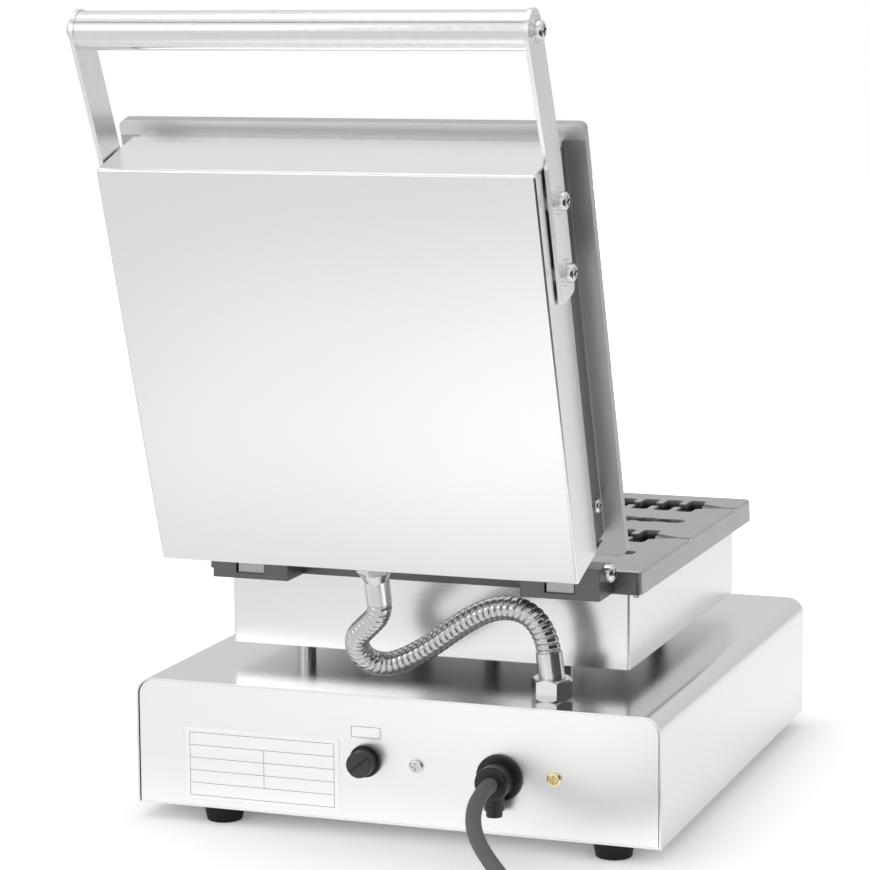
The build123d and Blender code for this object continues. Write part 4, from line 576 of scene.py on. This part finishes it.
class Palette:
    """Finishes of the CAD nodes, and those that the added pieces need."""

    ink_skin: float = 0.00002

    def __init__(self) -> None:
        """Build every finish and give it to the CAD nodes that carry it."""
        self.sheets()
        self.metals()
        self.plastics()
        self.others()
        self.conduit = self.use(TurnedMetal("strip wound conduit", (0.58, 0.58, 0.575), 0.16))
        self.cord = self.use(Moulded("cord rubber", (0.13, 0.13, 0.132), 0.62, skin=0.0002), "plug_body")
        self.ink = self.use(Moulded("label ink", (0.22, 0.22, 0.23), 0.6, self.ink_skin))
        self.dark_ink = self.use(Moulded("dial ink", (0.03, 0.03, 0.035), 0.5, self.ink_skin))
        self.white_ink = self.use(Moulded("pointer paint", (0.85, 0.85, 0.85), 0.45, self.ink_skin))

    def use(self, look: Look, *names: str) -> Finish:
        """Build a finish and give it to nodes.

        Args:
            look: Description of the finish.
            *names: The CAD nodes that carry it.

        Returns:
            The finish.
        """
        finish = look.build()
        for name in names:
            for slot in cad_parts[name].material_slots:
                slot.material = finish
            log.info("%s: %s", name, finish.name)
        return finish

    def sheets(self) -> None:
        """Finish the folded sheets and the labels' film."""
        # painted light: the rear panel's steel is paler than the other sheets so that it shows brighter
        self.use(SheetSteel("rear panel sheet", (0.92, 0.92, 0.915), 0.3), "rear_panel")
        self.use(SheetSteel("lid sheet"), "lid_cover")
        housing = SheetSteel("housing sheet", roughness=0.21)
        self.use(housing, "base_housing", "front_panel", "bottom_plate", "control_plate")
        self.use(SheetSteel("heater box sheet", roughness=0.22), "lower_box")
        self.use(SheetSteel("silver label film", (0.95, 0.95, 0.95), 0.32), "rear_labels")

    def metals(self) -> None:
        """Finish the cast plates, tubes, fittings and fixings."""
        self.use(CastPlate("lower cast plate", face=165.8, pocket_side=-1), "lower_plate")
        upper = CastPlate("upper cast plate", face=166.7, pocket_side=1, open_angle=108.5)
        self.use(upper, "upper_plate")
        arms = TurnedMetal("arm steel", (0.84, 0.84, 0.835), 0.24, mottle=0.02)
        self.use(arms, "handle_arm_left", "handle_arm_right", "lower_heater_clamps", "upper_heater_clamps")
        self.use(TurnedMetal("polished tube", (0.80, 0.80, 0.795), 0.13), "handle_grip")
        fittings = (
            "handle_screws", "handle_washers", "handle_spacers", "lid_screws", "panel_screw",
            "hinge_bolts", "sensor_capillary", "temperature_shaft", "timer_shaft",
        )
        self.use(TurnedMetal("bright fittings", (0.72, 0.72, 0.715), 0.2), *fittings)
        sleeve = TurnedMetal("plated sleeve", (0.7, 0.7, 0.695), 0.2)
        self.use(sleeve, "conduit_nut", "conduit_sleeve_lower", "conduit_sleeve_upper")
        self.use(TurnedMetal("zinc posts", (0.5, 0.5, 0.495), 0.22), "standoffs", "wiring_tube")
        fixings = ("standoff_bolts", "plate_bolts", "hinge_nuts", "foot_screws", "rim_screws", "reset_pin")
        self.use(TurnedMetal("zinc plated steel", (0.62, 0.62, 0.61), 0.3), *fixings)
        self.use(TurnedMetal("dark steel", (0.42, 0.42, 0.42), 0.35), "lower_heater", "upper_heater")
        self.use(TurnedMetal("brass", (0.88, 0.76, 0.45), 0.24), "earth_screw", "plug_pins")

    def plastics(self) -> None:
        """Finish the moulded parts and the feet."""
        moulded = (
            "cable_gland", "gland_nut", "gland_clamp_screw", "reset_bushing", "limit_switch",
            "thermostat_body", "timer_body", "temperature_knob", "timer_knob",
        )
        self.use(Moulded("black plastic", (0.008, 0.008, 0.0085), 0.36), *moulded)
        self.use(Moulded("dark cap plastic", (0.035, 0.036, 0.038), 0.5), "reset_cap")
        self.use(Moulded("foot rubber", (0.005, 0.005, 0.005), 0.55, skin=0.0002, shine=0.25), "rubber_feet")

    def others(self) -> None:
        """Finish the porcelain, the lenses, the blankets and the leads."""
        self.use(Moulded("porcelain", (0.8, 0.78, 0.72), 0.25, skin=0.00003, coat=0.4), "terminal_block")
        self.use(Lens("green lens", (0.05, 0.55, 0.12)), "power_lamp")
        self.use(Lens("orange lens", (0.9, 0.3, 0.03)), "heating_lamp")
        self.use(Fibre("fibre blanket", (0.82, 0.8, 0.76)), "lower_insulation", "upper_insulation")
        self.use(Fibre("lead sleeving", (0.7, 0.67, 0.6)), "wiring_loom")


@dataclass
class Studio:
    """Camera, floor, backdrop and lamps."""

    target: Point = (36.44, 0.0, 239.0)
    distance: float = 1.9869
    azimuth: float = 19.98
    elevation: float = 8.08
    roll: float = -0.354
    focal_length: float = 124.68
    sensor_width: float = 36.0
    shift_x: float = -0.00074
    shift_y: float = -0.0286
    floor_half: float = 6.0
    floor_white: float = 0.97
    floor_roughness: float = 0.8
    mirrored_white: float = 0.86
    floor_far: float = 2.4
    foot_half: Pair = (0.165, 0.18)
    floor_shown: Levels = ((0.0, 0.15), (0.03, 0.25), (0.1, 0.35), (0.5, 0.5), (1.0, 0.9))
    mirror_reach: float = 1.0
    mirrored_band: Levels = ((0.08, 0.0), (0.14, 0.5), (0.28, 0.14), (0.44, 0.44), (0.56, 0.36), (0.7, 0.0))
    mirrored_side: Levels = ((0.0, 1.2), (0.5, 1.1), (0.6, 0.7), (0.72, 0.1), (1.0, 0.1))
    mirrored_flank: Levels = ((0.0, 0.12), (0.6, 0.14), (0.8, 0.26), (0.86, 0.0))
    sky_ahead: Levels = ((0.0, 1.0), (0.6, 1.0), (0.68, 0.35), (0.78, 1.0))
    sky_behind: Levels = ((0.0, 0.66), (0.35, 0.7), (0.6, 0.85), (0.8, 1.0))
    sky_turn: float = 0.2
    sky_light: float = 0.8
    lamp_aim: Point = (0.0, 0.0, 0.2)
    flag_line: tuple[Point, ...] = ((-320.0, 665.0, 0.0), (-645.0, 200.0, 0.0), (-600.0, -60.0, 0.0))
    flag_height: float = 0.5
    flag_grey: float = 0.05

    def camera(self) -> None:
        """Stand the camera where the photograph was taken from."""
        turn, rise, roll = (math.radians(angle) for angle in (self.azimuth, self.elevation, self.roll))
        out = Vector((-math.sin(turn) * math.cos(rise), math.cos(turn) * math.cos(rise), math.sin(rise)))
        right = (-out).cross(Vector((0.0, 0.0, 1.0))).normalized()
        up = right.cross(-out)
        across = right * math.cos(roll) + up * math.sin(roll)
        upward = up * math.cos(roll) - right * math.sin(roll)
        data = bpy.data.cameras.new("camera")
        data.lens = self.focal_length
        data.sensor_width = self.sensor_width
        data.sensor_fit = "HORIZONTAL"
        data.shift_x = self.shift_x
        data.shift_y = self.shift_y
        camera = stand("camera", data)
        axes = Matrix((across, upward, out)).transposed().to_4x4()
        camera.matrix_world = Matrix.Translation(placed(*self.target) + out * self.distance) @ axes
        bpy.context.scene.camera = camera

    def lamp(self, name: str, place: Point, size: Pair, power: float) -> None:
        """Hang a rectangular soft lamp that faces the object.

        Args:
            name: The lamp's name.
            place: Where it hangs, in metres.
            size: Its width and height in metres.
            power: Its power in watts.
        """
        data = bpy.data.lights.new(name, "AREA")
        data.shape = "RECTANGLE"
        data.size, data.size_y = size
        data.energy = power
        lamp = stand(name, data)
        lamp.location = place
        lamp.rotation_euler = (Vector(self.lamp_aim) - Vector(place)).to_track_quat("-Z", "Y").to_euler()

    def world(self) -> None:
        """White surroundings, with a grey gap between the overhead and the side light in reflections."""
        world = bpy.data.worlds.new("surroundings")
        bpy.context.scene.world = world
        world.use_nodes = True
        tree = Tree(world.node_tree)
        path = tree.node("ShaderNodeLightPath").outputs
        heading = tree.split(tree.node("ShaderNodeTexCoord").outputs["Generated"])
        facing = tree.between(heading["Y"], -self.sky_turn, self.sky_turn)
        behind = tree.graded(heading["Z"], self.sky_behind)
        halves = tree.mix(facing, behind, tree.graded(heading["Z"], self.sky_ahead))
        mirrored = tree.mix(path["Is Glossy Ray"], 1.0, halves)
        level = tree.mix(path["Is Diffuse Ray"], mirrored, self.sky_light)
        tree.feed(tree.tree.nodes["Background"], {"Color": (1.0, 1.0, 1.0, 1.0), "Strength": level})

    def sheet(self, name: str, points: list[Vector], faces: list[tuple[int, ...]]) -> tuple[Piece, Shader]:
        """Lay a plain sheet.

        Args:
            name: Name of the sheet and its finish.
            points: Its corners.
            faces: Its faces, by number of the corners.

        Returns:
            The sheet and the shader of its finish.
        """
        mesh = bpy.data.meshes.new(name)
        mesh.from_pydata(points, [], faces)
        shader = Shader(name)
        mesh.materials.append(shader.material)
        return stand(name, mesh), shader

    def mirrored(self, shader: Shader) -> Socket:
        """Level of the floor that polished metal reflects, off the floor's X and Y.

        Args:
            shader: The floor's shader.

        Returns:
            The level's output.
        """
        split = shader.split(shader.place)
        reach = self.mirror_reach
        band = shader.ramp(split["Y"], 0.0, reach, self.mirrored_band)
        side = shader.ramp(split["X"], -reach, reach, self.mirrored_side)
        flank = shader.ramp(split["X"], -reach, 0.0, self.mirrored_flank)
        return shader.plus(shader.times(band, side), flank)

    def floor(self) -> None:
        """Lay a plain pale floor that keeps the object's shadow."""
        corners = [Vector((x, y, 0.0)) * self.floor_half for x, y in ((-1, -1), (1, -1), (1, 1), (-1, 1))]
        floor, shader = self.sheet("floor", corners, [(0, 1, 2, 3)])
        path = shader.node("ShaderNodeLightPath").outputs
        tone = shader.blend(path["Is Glossy Ray"], (self.floor_white,) * 3, (self.mirrored_white,) * 3)
        shader.finish(tone, self.floor_roughness, Specular_IOR_Level=0.0)
        foot = Vector((*self.foot_half, self.floor_half))
        away = shader.beyond(shader.place, placed(0.0, 0.0, 0.0), foot)
        shown = shader.ramp(away, 0.0, self.floor_far, self.floor_shown)
        direct = shader.times(path["Is Camera Ray"], shown)
        strength = shader.plus(direct, shader.times(path["Is Glossy Ray"], self.mirrored(shader)))
        glow = shader.node("ShaderNodeEmission", {"Strength": strength})
        both = shader.node("ShaderNodeAddShader", {0: shader.surface.outputs[0], 1: glow.outputs[0]})
        shader.feed(shader.output, {"Surface": both.outputs[0]})

    def flag(self) -> None:
        """Stand a dark card beside the camera, seen only as an edge in the polished metal."""
        foot = [placed(*point) for point in self.flag_line]
        head = [point + Vector((0.0, 0.0, self.flag_height)) for point in foot]
        count = len(foot)
        faces = [(index, index + 1, index + 1 + count, index + count) for index in range(count - 1)]
        card, shader = self.sheet("dark card", foot + head, faces)
        for view in ("camera", "diffuse", "shadow", "transmission"):
            setattr(card, "visible_" + view, False)
        shader.finish((*(self.flag_grey,) * 3, 1.0), roughness=1.0)

    def build(self) -> None:
        """Set up the whole studio."""
        bpy.context.scene.view_settings.view_transform = "Standard"
        self.camera()
        self.floor()
        self.flag()
        self.lamp("top softbox", place=(0.3, 0.3, 2.2), size=(1.2, 1.2), power=7.0)
        self.lamp("left softbox", place=(1.7, 3.0, 1.4), size=(0.9, 1.2), power=6.0)
        self.world()
        log.info("studio ready")


def nurbs(name: str, points: list[Vector], radius: float, sides: int) -> Piece:
    """One open NURBS spline through a route's control points.

    Args:
        name: The object's name.
        points: Control points in metres.
        radius: Radius of the round section.
        sides: Resolution of the round section.

    Returns:
        The curve object, linked to the scene.
    """
    data = bpy.data.curves.new(name, "CURVE")
    data.dimensions = "3D"
    data.bevel_depth = radius
    data.bevel_resolution = sides
    data.use_fill_caps = True
    data.resolution_u = data.render_resolution_u = CURVE_STEPS
    spline = data.splines.new("NURBS")
    spline.points.add(len(points) - 1)
    for point, place in zip(spline.points, points):
        point.co = (*place, 1.0)
    spline.order_u = 3
    spline.use_endpoint_u = True
    return stand(name, data)


@dataclass
class MainsCord:
    """Black rubber cord out of the gland, its put-away coil and its plug."""

    radius: float = 4.75
    sides: int = 6
    start: Point = (-69.5, 195.7, 45.5)
    exit_run: float = 5.0
    route: tuple[Point, ...] = (
        (-69.5, 217.4, 45.5),
        (-70.3, 237.0, 36.1),
        (-79.5, 252.1, 23.6),
        (-105.6, 269.9, 5.2),
        (-129.6, 298.4, 4.8),
        (-146.0, 344.7, 4.8),
    )
    coil_x: float = -207.0
    coil_y: float = 372.0
    coil_radius: float = 61.0
    coil_pitch: float = 10.0
    half_turns: int = 4
    layer: float = 10.0
    rest_height: float = 4.8
    points_per_half: int = 8
    tail_run: float = 20.0
    plug_radius: float = 18.5
    plug_lift: float = 0.05
    length: float = 1.56

    def half_turn(self, start_x: float, side: int, radius: float, low: float, rise: float) -> list[Point]:
        """Control points of half a turn of the coil.

        Args:
            start_x: Where the half turn starts, on the coil's middle line.
            side: 1 where it goes round the far side, -1 the near side.
            radius: Its radius.
            low: Height where it starts.
            rise: How far it climbs.

        Returns:
            Points from just after the start up to the end.
        """
        outward = -1 if start_x < self.coil_x else 1
        middle = start_x - outward * radius
        last = self.points_per_half
        points = []
        for step in range(1, last + 1):
            share = step / last
            turn = math.pi * share
            reach = radius / math.cos(math.pi / last / 2) if step < last else radius
            x = middle + outward * reach * math.cos(turn)
            y = self.coil_y + side * reach * math.sin(turn)
            points.append((x, y, low + rise * share))
        return points

    def coil(self) -> list[Point]:
        """Lay the coil: a flat spiral in, a climb, and a flat spiral out on top.

        Returns:
            Its control points.
        """
        radii = [self.coil_radius - self.coil_pitch / 2 * turn for turn in range(self.half_turns)]
        climb = radii[-1] - self.coil_pitch / 2
        turns = [(radius, 0.0) for radius in radii]
        turns += [(climb, self.layer)] + [(radius, 0.0) for radius in radii[:0:-1]]
        x = self.coil_x + self.coil_radius
        low = self.rest_height
        points = [(x, self.coil_y, low)]
        side = 1
        for radius, rise in turns:
            points += self.half_turn(x, side, radius, low, rise)
            x = points[-1][0]
            low += rise
            side = -side
        return points

    def tail(self, end: Point) -> list[Point]:
        """Lead the cord from the coil's end up to the plug.

        Args:
            end: Last control point of the coil.

        Returns:
            Further control points.
        """
        x, y, z = end
        top = self.plug_radius + self.plug_lift
        return [(x, y + self.tail_run, z), (x, y + 2 * self.tail_run, top), (x, y + 3 * self.tail_run, top)]

    def build(self, palette: Palette) -> None:
        """Args:
            palette: The finishes.
        """
        points = [self.start, *self.route, *self.coil()]
        points += self.tail(points[-1])
        cord = nurbs("mains_cord", [placed(*point) for point in points], self.radius / MM, self.sides)
        cord.data.materials.append(palette.cord)
        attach(cord, Body.BASE.value)
        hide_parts("cord_run", "cord_coil")
        log.info("%s: %d control points", cord.name, len(points))


class GeometryTree(Tree):
    """A geometry node tree under construction, with named inputs for its finish and its sizes."""

    def __init__(self, name: str, finish: Finish) -> None:
        """Start a tree that takes and gives geometry.

        Args:
            name: Name of the tree.
            finish: Finish of what it builds.
        """
        super().__init__(bpy.data.node_groups.new(name, "GeometryNodeTree"))
        for way in ("INPUT", "OUTPUT"):
            self.tree.interface.new_socket("Geometry", in_out=way, socket_type="NodeSocketGeometry")
        self.given = self.node("NodeGroupInput")
        self.result = self.node("NodeGroupOutput")
        self.finish = finish
        self.sizes: dict[str, object] = {}
        self.size("Finish", finish, "NodeSocketMaterial")

    def size(self, name: str, value: object, kind: str = "NodeSocketFloat") -> None:
        """Add a named input.

        Args:
            name: The input's name.
            value: Its value.
            kind: Type name of the socket.
        """
        socket = self.tree.interface.new_socket(name, in_out="INPUT", socket_type=kind)
        self.sizes[socket.identifier] = value

    def get(self, name: str) -> Socket:
        """The output that carries a named input."""
        return self.given.outputs[name]

    def xyz(self, x: Socket | float = 0.0, y: Socket | float = 0.0, z: Socket | float = 0.0) -> Socket:
        """Join three lengths to a vector."""
        return self.node("ShaderNodeCombineXYZ", {"X": x, "Y": y, "Z": z}).outputs[0]

    def captured(self, curve: Socket, reading: str) -> Node:
        """Keep a reading of the spline on the points of a curve.

        Args:
            curve: The curve's output.
            reading: Name of the reading.

        Returns:
            The node with the curve and then the reading.
        """
        kept = self.node("GeometryNodeCaptureAttribute")
        kept.capture_items.new("FLOAT", reading.lower())
        value = self.node("GeometryNodeSplineParameter").outputs[reading]
        self.feed(kept, {"Geometry": curve, 1: value})
        return kept

    def end(self, geometry: Socket, smooth: bool = True) -> None:
        """End the tree with real geometry in its finish.

        Args:
            geometry: What the tree has built.
            smooth: Whether its faces are shaded smooth.
        """
        real = self.node("GeometryNodeRealizeInstances", {"Geometry": geometry}).outputs[0]
        shading = {"Geometry": real, "Shade Smooth": smooth}
        shaded = self.node("GeometryNodeSetShadeSmooth", shading).outputs[0]
        finishing = {"Geometry": shaded, "Material": self.get("Finish")}
        self.feed(self.result, {"Geometry": self.node("GeometryNodeSetMaterial", finishing).outputs[0]})

    def bake(self, source: Piece, name: str) -> Piece:
        """Run the tree on an object and keep the result as a plain mesh.

        Args:
            source: Object that the tree works on; it is removed.
            name: Name of the new piece.

        Returns:
            The new piece.
        """
        modifier = source.modifiers.new(name, "NODES")
        modifier.node_group = self.tree
        for identifier, value in self.sizes.items():
            modifier[identifier] = value
        mesh = take_mesh(source)
        mesh.name = name
        mesh.materials.clear()
        mesh.materials.append(self.finish)
        return stand(name, mesh)


@dataclass
class ConduitHose:
    """Strip-wound metal hose that carries the lid heater's leads from the base to the lid."""

    radius: float = 7.7
    groove: float = 1.0
    pitch: float = 4.0
    groove_power: float = 5.0
    strip_slope: float = 0.35
    sides: int = 40
    rows_per_pitch: int = 14
    length: float = 197.1
    route: tuple[Point, ...] = (
        (-91.85, 156.0, 118.57),
        (-90.55, 156.0, 128.48),
        (-80.2, 158.5, 143.1),
        (-60.9, 158.5, 145.1),
        (-41.0, 160.0, 135.7),
        (-14.4, 162.5, 115.2),
        (8.6, 165.5, 104.3),
        (21.6, 174.0, 110.3),
        (23.1, 183.0, 124.6),
        (11.7, 189.8, 134.5),
        (1.2, 195.17, 144.14),
        (1.2, 197.71, 151.73),
    )
    bend_start: Point = (-78.0, 164.0, 130.0)
    bend_end: Point = (22.0, 164.0, 130.0)

    def tree(self, finish: Finish) -> GeometryTree:
        """Nodes that wind a grooved strip along a curve.

        Args:
            finish: Finish of the strip.

        Returns:
            The finished tree.
        """
        tree = GeometryTree("strip winding", finish)
        for name, length in (("Radius", self.radius), ("Groove", self.groove), ("Pitch", self.pitch)):
            tree.size(name, length / MM)
        tree.size("Groove power", self.groove_power)
        tree.size("Strip slope", self.strip_slope)
        tree.size("Sides", self.sides, "NodeSocketInt")
        tree.size("Rows", int(self.length / self.pitch * self.rows_per_pitch), "NodeSocketInt")
        rows = {"Count": tree.get("Rows"), "Curve": tree.get("Geometry")}
        along = tree.captured(tree.node("GeometryNodeResampleCurve", rows).outputs["Curve"], "Length")
        ring = {"Resolution": tree.get("Sides"), "Radius": tree.get("Radius")}
        circle = tree.node("GeometryNodeCurvePrimitiveCircle", ring)
        around = tree.captured(circle.outputs["Curve"], "Factor")
        swept = {"Curve": along.outputs[0], "Profile Curve": around.outputs[0], "Fill Caps": True}
        sweep = tree.node("GeometryNodeCurveToMesh", swept)
        turns = tree.math("DIVIDE", along.outputs[1], tree.get("Pitch"))
        phase = tree.math("FRACT", tree.plus(turns, around.outputs[1]))
        away = tree.math("ABSOLUTE", tree.math("SUBTRACT", tree.math("MULTIPLY", phase, 2.0), 1.0))
        steep = tree.math("POWER", away, tree.get("Groove power"))
        step = tree.times(phase, tree.get("Strip slope"))
        depth = tree.times(tree.plus(steep, step), tree.get("Groove"))
        normal = tree.node("GeometryNodeInputNormal").outputs[0]
        inward = {0: normal, "Scale": tree.math("MULTIPLY", depth, -1.0)}
        offset = tree.node("ShaderNodeVectorMath", inward, operation="SCALE").outputs[0]
        shaped = tree.node("GeometryNodeSetPosition", {"Geometry": sweep.outputs["Mesh"], "Offset": offset})
        tree.end(shaped.outputs["Geometry"])
        return tree

    def build(self, palette: Palette) -> None:
        """Wind the hose along its route between the base and the lid.

        Args:
            palette: The finishes.
        """
        curve = nurbs("conduit_route", [placed(*point) for point in self.route], 0.0, 0)
        hose = self.tree(palette.conduit).bake(curve, "strip_wound_conduit")
        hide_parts("conduit_hose")
        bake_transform(hose)
        log.info("%s: %d faces", hose.name, len(hose.data.polygons))


def join_boxes(name: str, boxes: list[Bar], finish: Finish) -> Piece:
    """One mesh of several thin closed boxes.

    Args:
        name: Name of the piece.
        boxes: Lowest and highest corner of each box.
        finish: Finish of the piece.

    Returns:
        The new piece.
    """
    build = bmesh.new()
    for low, high in boxes:
        place = Matrix.Translation((low + high) / 2) @ Matrix.Diagonal((*(high - low), 1.0))
        bmesh.ops.create_cube(build, size=1.0, matrix=place)
    return piece_of(build, name, finish)


@dataclass
class RearLabels:
    """Ruled lines of the blank rating plate and the frame of the small label above the reset cap."""

    face: float = 183.0
    plate_x: float = 85.8
    plate_z: float = 37.5
    frame_width: float = 96.5
    frame_height: float = 40.0
    rows: int = 5
    column_left: float = 1.5
    rule: float = 0.3
    raised: float = 0.03
    sunk: float = 0.02
    small_x: float = 16.5
    small_z: float = 66.5
    small_width: float = 18.6
    small_height: float = 6.6

    def line(self, x: float, z: float, width: float, height: float) -> Bar:
        """Corners of one printed bar given by its middle and its size."""
        low = placed(x - width / 2, self.face - self.sunk, z - height / 2)
        return low, placed(x + width / 2, self.face + self.raised, z + height / 2)

    def outline(self, x: float, z: float, width: float, height: float) -> list[Bar]:
        """Four bars round a rectangle."""
        sides = [self.line(x + side * width / 2, z, self.rule, height + self.rule) for side in (-1, 1)]
        return sides + [self.line(x, z + side * height / 2, width, self.rule) for side in (-1, 1)]

    def build(self, palette: Palette) -> None:
        """Print the rules and frames.

        Args:
            palette: The finishes.
        """
        bars = self.outline(self.plate_x, self.plate_z, self.frame_width, self.frame_height)
        step = self.frame_height / self.rows
        top = self.plate_z + self.frame_height / 2
        for row in range(1, self.rows):
            bars.append(self.line(self.plate_x, top - row * step, self.frame_width, self.rule))
        column = self.plate_x - self.column_left
        bars.append(self.line(column, self.plate_z, self.rule, step * (self.rows - 2)))
        bars += self.outline(self.small_x, self.small_z, self.small_width, self.small_height)
        print_lines = join_boxes("label_rules", bars, palette.ink)
        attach(print_lines, Body.BASE.value)
        log.info("%s: %d bars", print_lines.name, len(bars))


@dataclass
class Dial:
    """Printed scale round one knob, with its numbers, and the painted pointer on the knob."""

    knob: str
    body: Body
    sweep: float
    numbers: range
    between: int = 4
    minor_cut: float = 0.4
    mark_radius: float = 24.6
    mark_length: float = 2.2
    mark_width: float = 0.45
    number_radius: float = 28.4
    number_size: float = 3.4
    pointer_radius: float = 11.5
    pointer_length: float = 12.0
    pointer_width: float = 1.5
    paint: float = 0.08
    sunk: float = 0.05
    plate_face: float = -183.2

    def knob_place(self) -> Point:
        """X and Z of the knob's middle and the Y of its front face, in metres."""
        low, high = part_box(self.knob)
        return (low[0] + high[0]) / 2, (low[2] + high[2]) / 2, low[1]

    def angle(self, share: float) -> float:
        """Angle clockwise from the top, at a share of the knob's sweep."""
        return math.radians(self.sweep) * (share - 0.5)

    def tree(self, count: int, radius: float, size: Point, centre: Vector, finish: Finish) -> GeometryTree:
        """Nodes that set small bars on an arc that faces the front.

        Args:
            count: Number of bars.
            radius: Radius of their middles in millimetres.
            size: Width, thickness and length of a bar in millimetres.
            centre: Middle of the arc in metres.
            finish: Their paint.

        Returns:
            The finished tree.
        """
        tree = GeometryTree("dial bars", finish)
        tree.size("Count", count, "NodeSocketInt")
        tree.size("Major every", self.between + 1, "NodeSocketInt")
        tree.size("Centre", centre[:], "NodeSocketVector")
        tree.size("Start", self.angle(0.0))
        tree.size("Sweep", math.radians(self.sweep))
        tree.size("Minor cut", self.minor_cut)
        for name, length in zip(("Radius", "Width", "Thickness", "Length"), (radius, *size)):
            tree.size(name, length / MM)
        line = tree.node("GeometryNodeMeshLine", {"Count": tree.get("Count")}).outputs[0]
        index = tree.node("GeometryNodeInputIndex").outputs[0]
        gaps = tree.math("MAXIMUM", tree.math("SUBTRACT", tree.get("Count"), 1.0), 1.0)
        along = tree.times(tree.math("DIVIDE", index, gaps), tree.get("Sweep"))
        angle = tree.plus(tree.get("Start"), along)
        across, up = (tree.times(tree.math(wave, angle), tree.get("Radius")) for wave in ("SINE", "COSINE"))
        place = tree.vector("ADD", tree.xyz(x=across, z=up), tree.get("Centre"))
        points = tree.node("GeometryNodeSetPosition", {"Geometry": line, "Position": place}).outputs[0]
        bar_size = tree.xyz(*(tree.get(name) for name in ("Width", "Thickness", "Length")))
        bar = tree.node("GeometryNodeMeshCube", {"Size": bar_size}).outputs["Mesh"]
        minor = tree.math("MINIMUM", tree.math("MODULO", index, tree.get("Major every")), 1.0)
        stretch = tree.math("SUBTRACT", 1.0, tree.times(minor, tree.get("Minor cut")))
        copies = {
            "Points": points,
            "Instance": bar,
            "Rotation": tree.xyz(y=angle),
            "Scale": tree.xyz(1.0, 1.0, stretch),
        }
        tree.end(tree.node("GeometryNodeInstanceOnPoints", copies).outputs[0], smooth=False)
        return tree

    def bars(self, name: str, tree: GeometryTree, body: Body) -> None:
        """Bake the bars into one piece and let it ride.

        Args:
            name: Name of the piece.
            tree: The tree that sets the bars.
            body: The body that carries them.
        """
        holder = name + "_holder"
        piece = tree.bake(stand(holder, bpy.data.meshes.new(holder)), name)
        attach(piece, body.value)
        log.info("%s: %d faces", name, len(piece.data.polygons))

    def lettering(self, name: str, centre: Vector, finish: Finish) -> None:
        """Print the numbers round the scale as one mesh.

        Args:
            name: Name of the piece.
            centre: Middle of the scale in metres.
            finish: Their ink.
        """
        build = bmesh.new()
        upright = Matrix.Rotation(math.radians(90), 4, "X")
        for index, number in enumerate(self.numbers):
            curve = bpy.data.curves.new("number", "FONT")
            curve.body = str(number)
            curve.size = self.number_size / MM
            curve.extrude = self.paint / 2 / MM
            curve.align_x = "CENTER"
            curve.align_y = "CENTER"
            mesh = take_mesh(stand("number", curve))
            angle = self.angle(index / (len(self.numbers) - 1))
            out = Vector((math.sin(angle), 0.0, math.cos(angle))) * self.number_radius / MM
            mesh.transform(Matrix.Translation(centre + out) @ upright)
            build.from_mesh(mesh)
            bpy.data.meshes.remove(mesh)
        piece = piece_of(build, name, finish)
        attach(piece, Body.BASE.value)
        log.info("%s: %d numbers", name, len(self.numbers))

    def build(self, palette: Palette) -> None:
        """Print the scale and paint the pointer.

        Args:
            palette: The finishes.
        """
        x, z, front = self.knob_place()
        depth = self.paint / 2 - self.sunk
        plate = Vector((x, placed(0.0, self.plate_face - depth, 0.0).y, z))
        count = (len(self.numbers) - 1) * (self.between + 1) + 1
        size = (self.mark_width, self.paint, self.mark_length)
        scale = self.tree(count, self.mark_radius, size, plate, palette.dark_ink)
        self.bars(self.knob.replace("knob", "scale"), scale, Body.BASE)
        self.lettering(self.knob.replace("knob", "numbers"), plate, palette.dark_ink)
        face = Vector((x, front - depth / MM, z))
        size = (self.pointer_width, self.paint, self.pointer_length)
        pointer = self.tree(1, self.pointer_radius, size, face, palette.white_ink)
        self.bars(self.knob.replace("knob", "pointer"), pointer, self.body)


def main() -> None:
    """Build the studio, dress the frame and add the pieces that the CAD leaves out."""
    logging.basicConfig(level=logging.INFO, format="%(name)s %(message)s")
    Studio().build()
    palette = Palette()
    MainsCord().build(palette)
    ConduitHose().build(palette)
    RearLabels().build(palette)
    Dial("temperature_knob", Body.TEMPERATURE, sweep=270.0, numbers=range(0, 301, 50)).build(palette)
    Dial("timer_knob", Body.TIMER, sweep=300.0, numbers=range(6)).build(palette)


if __name__ == "__main__":
    main()
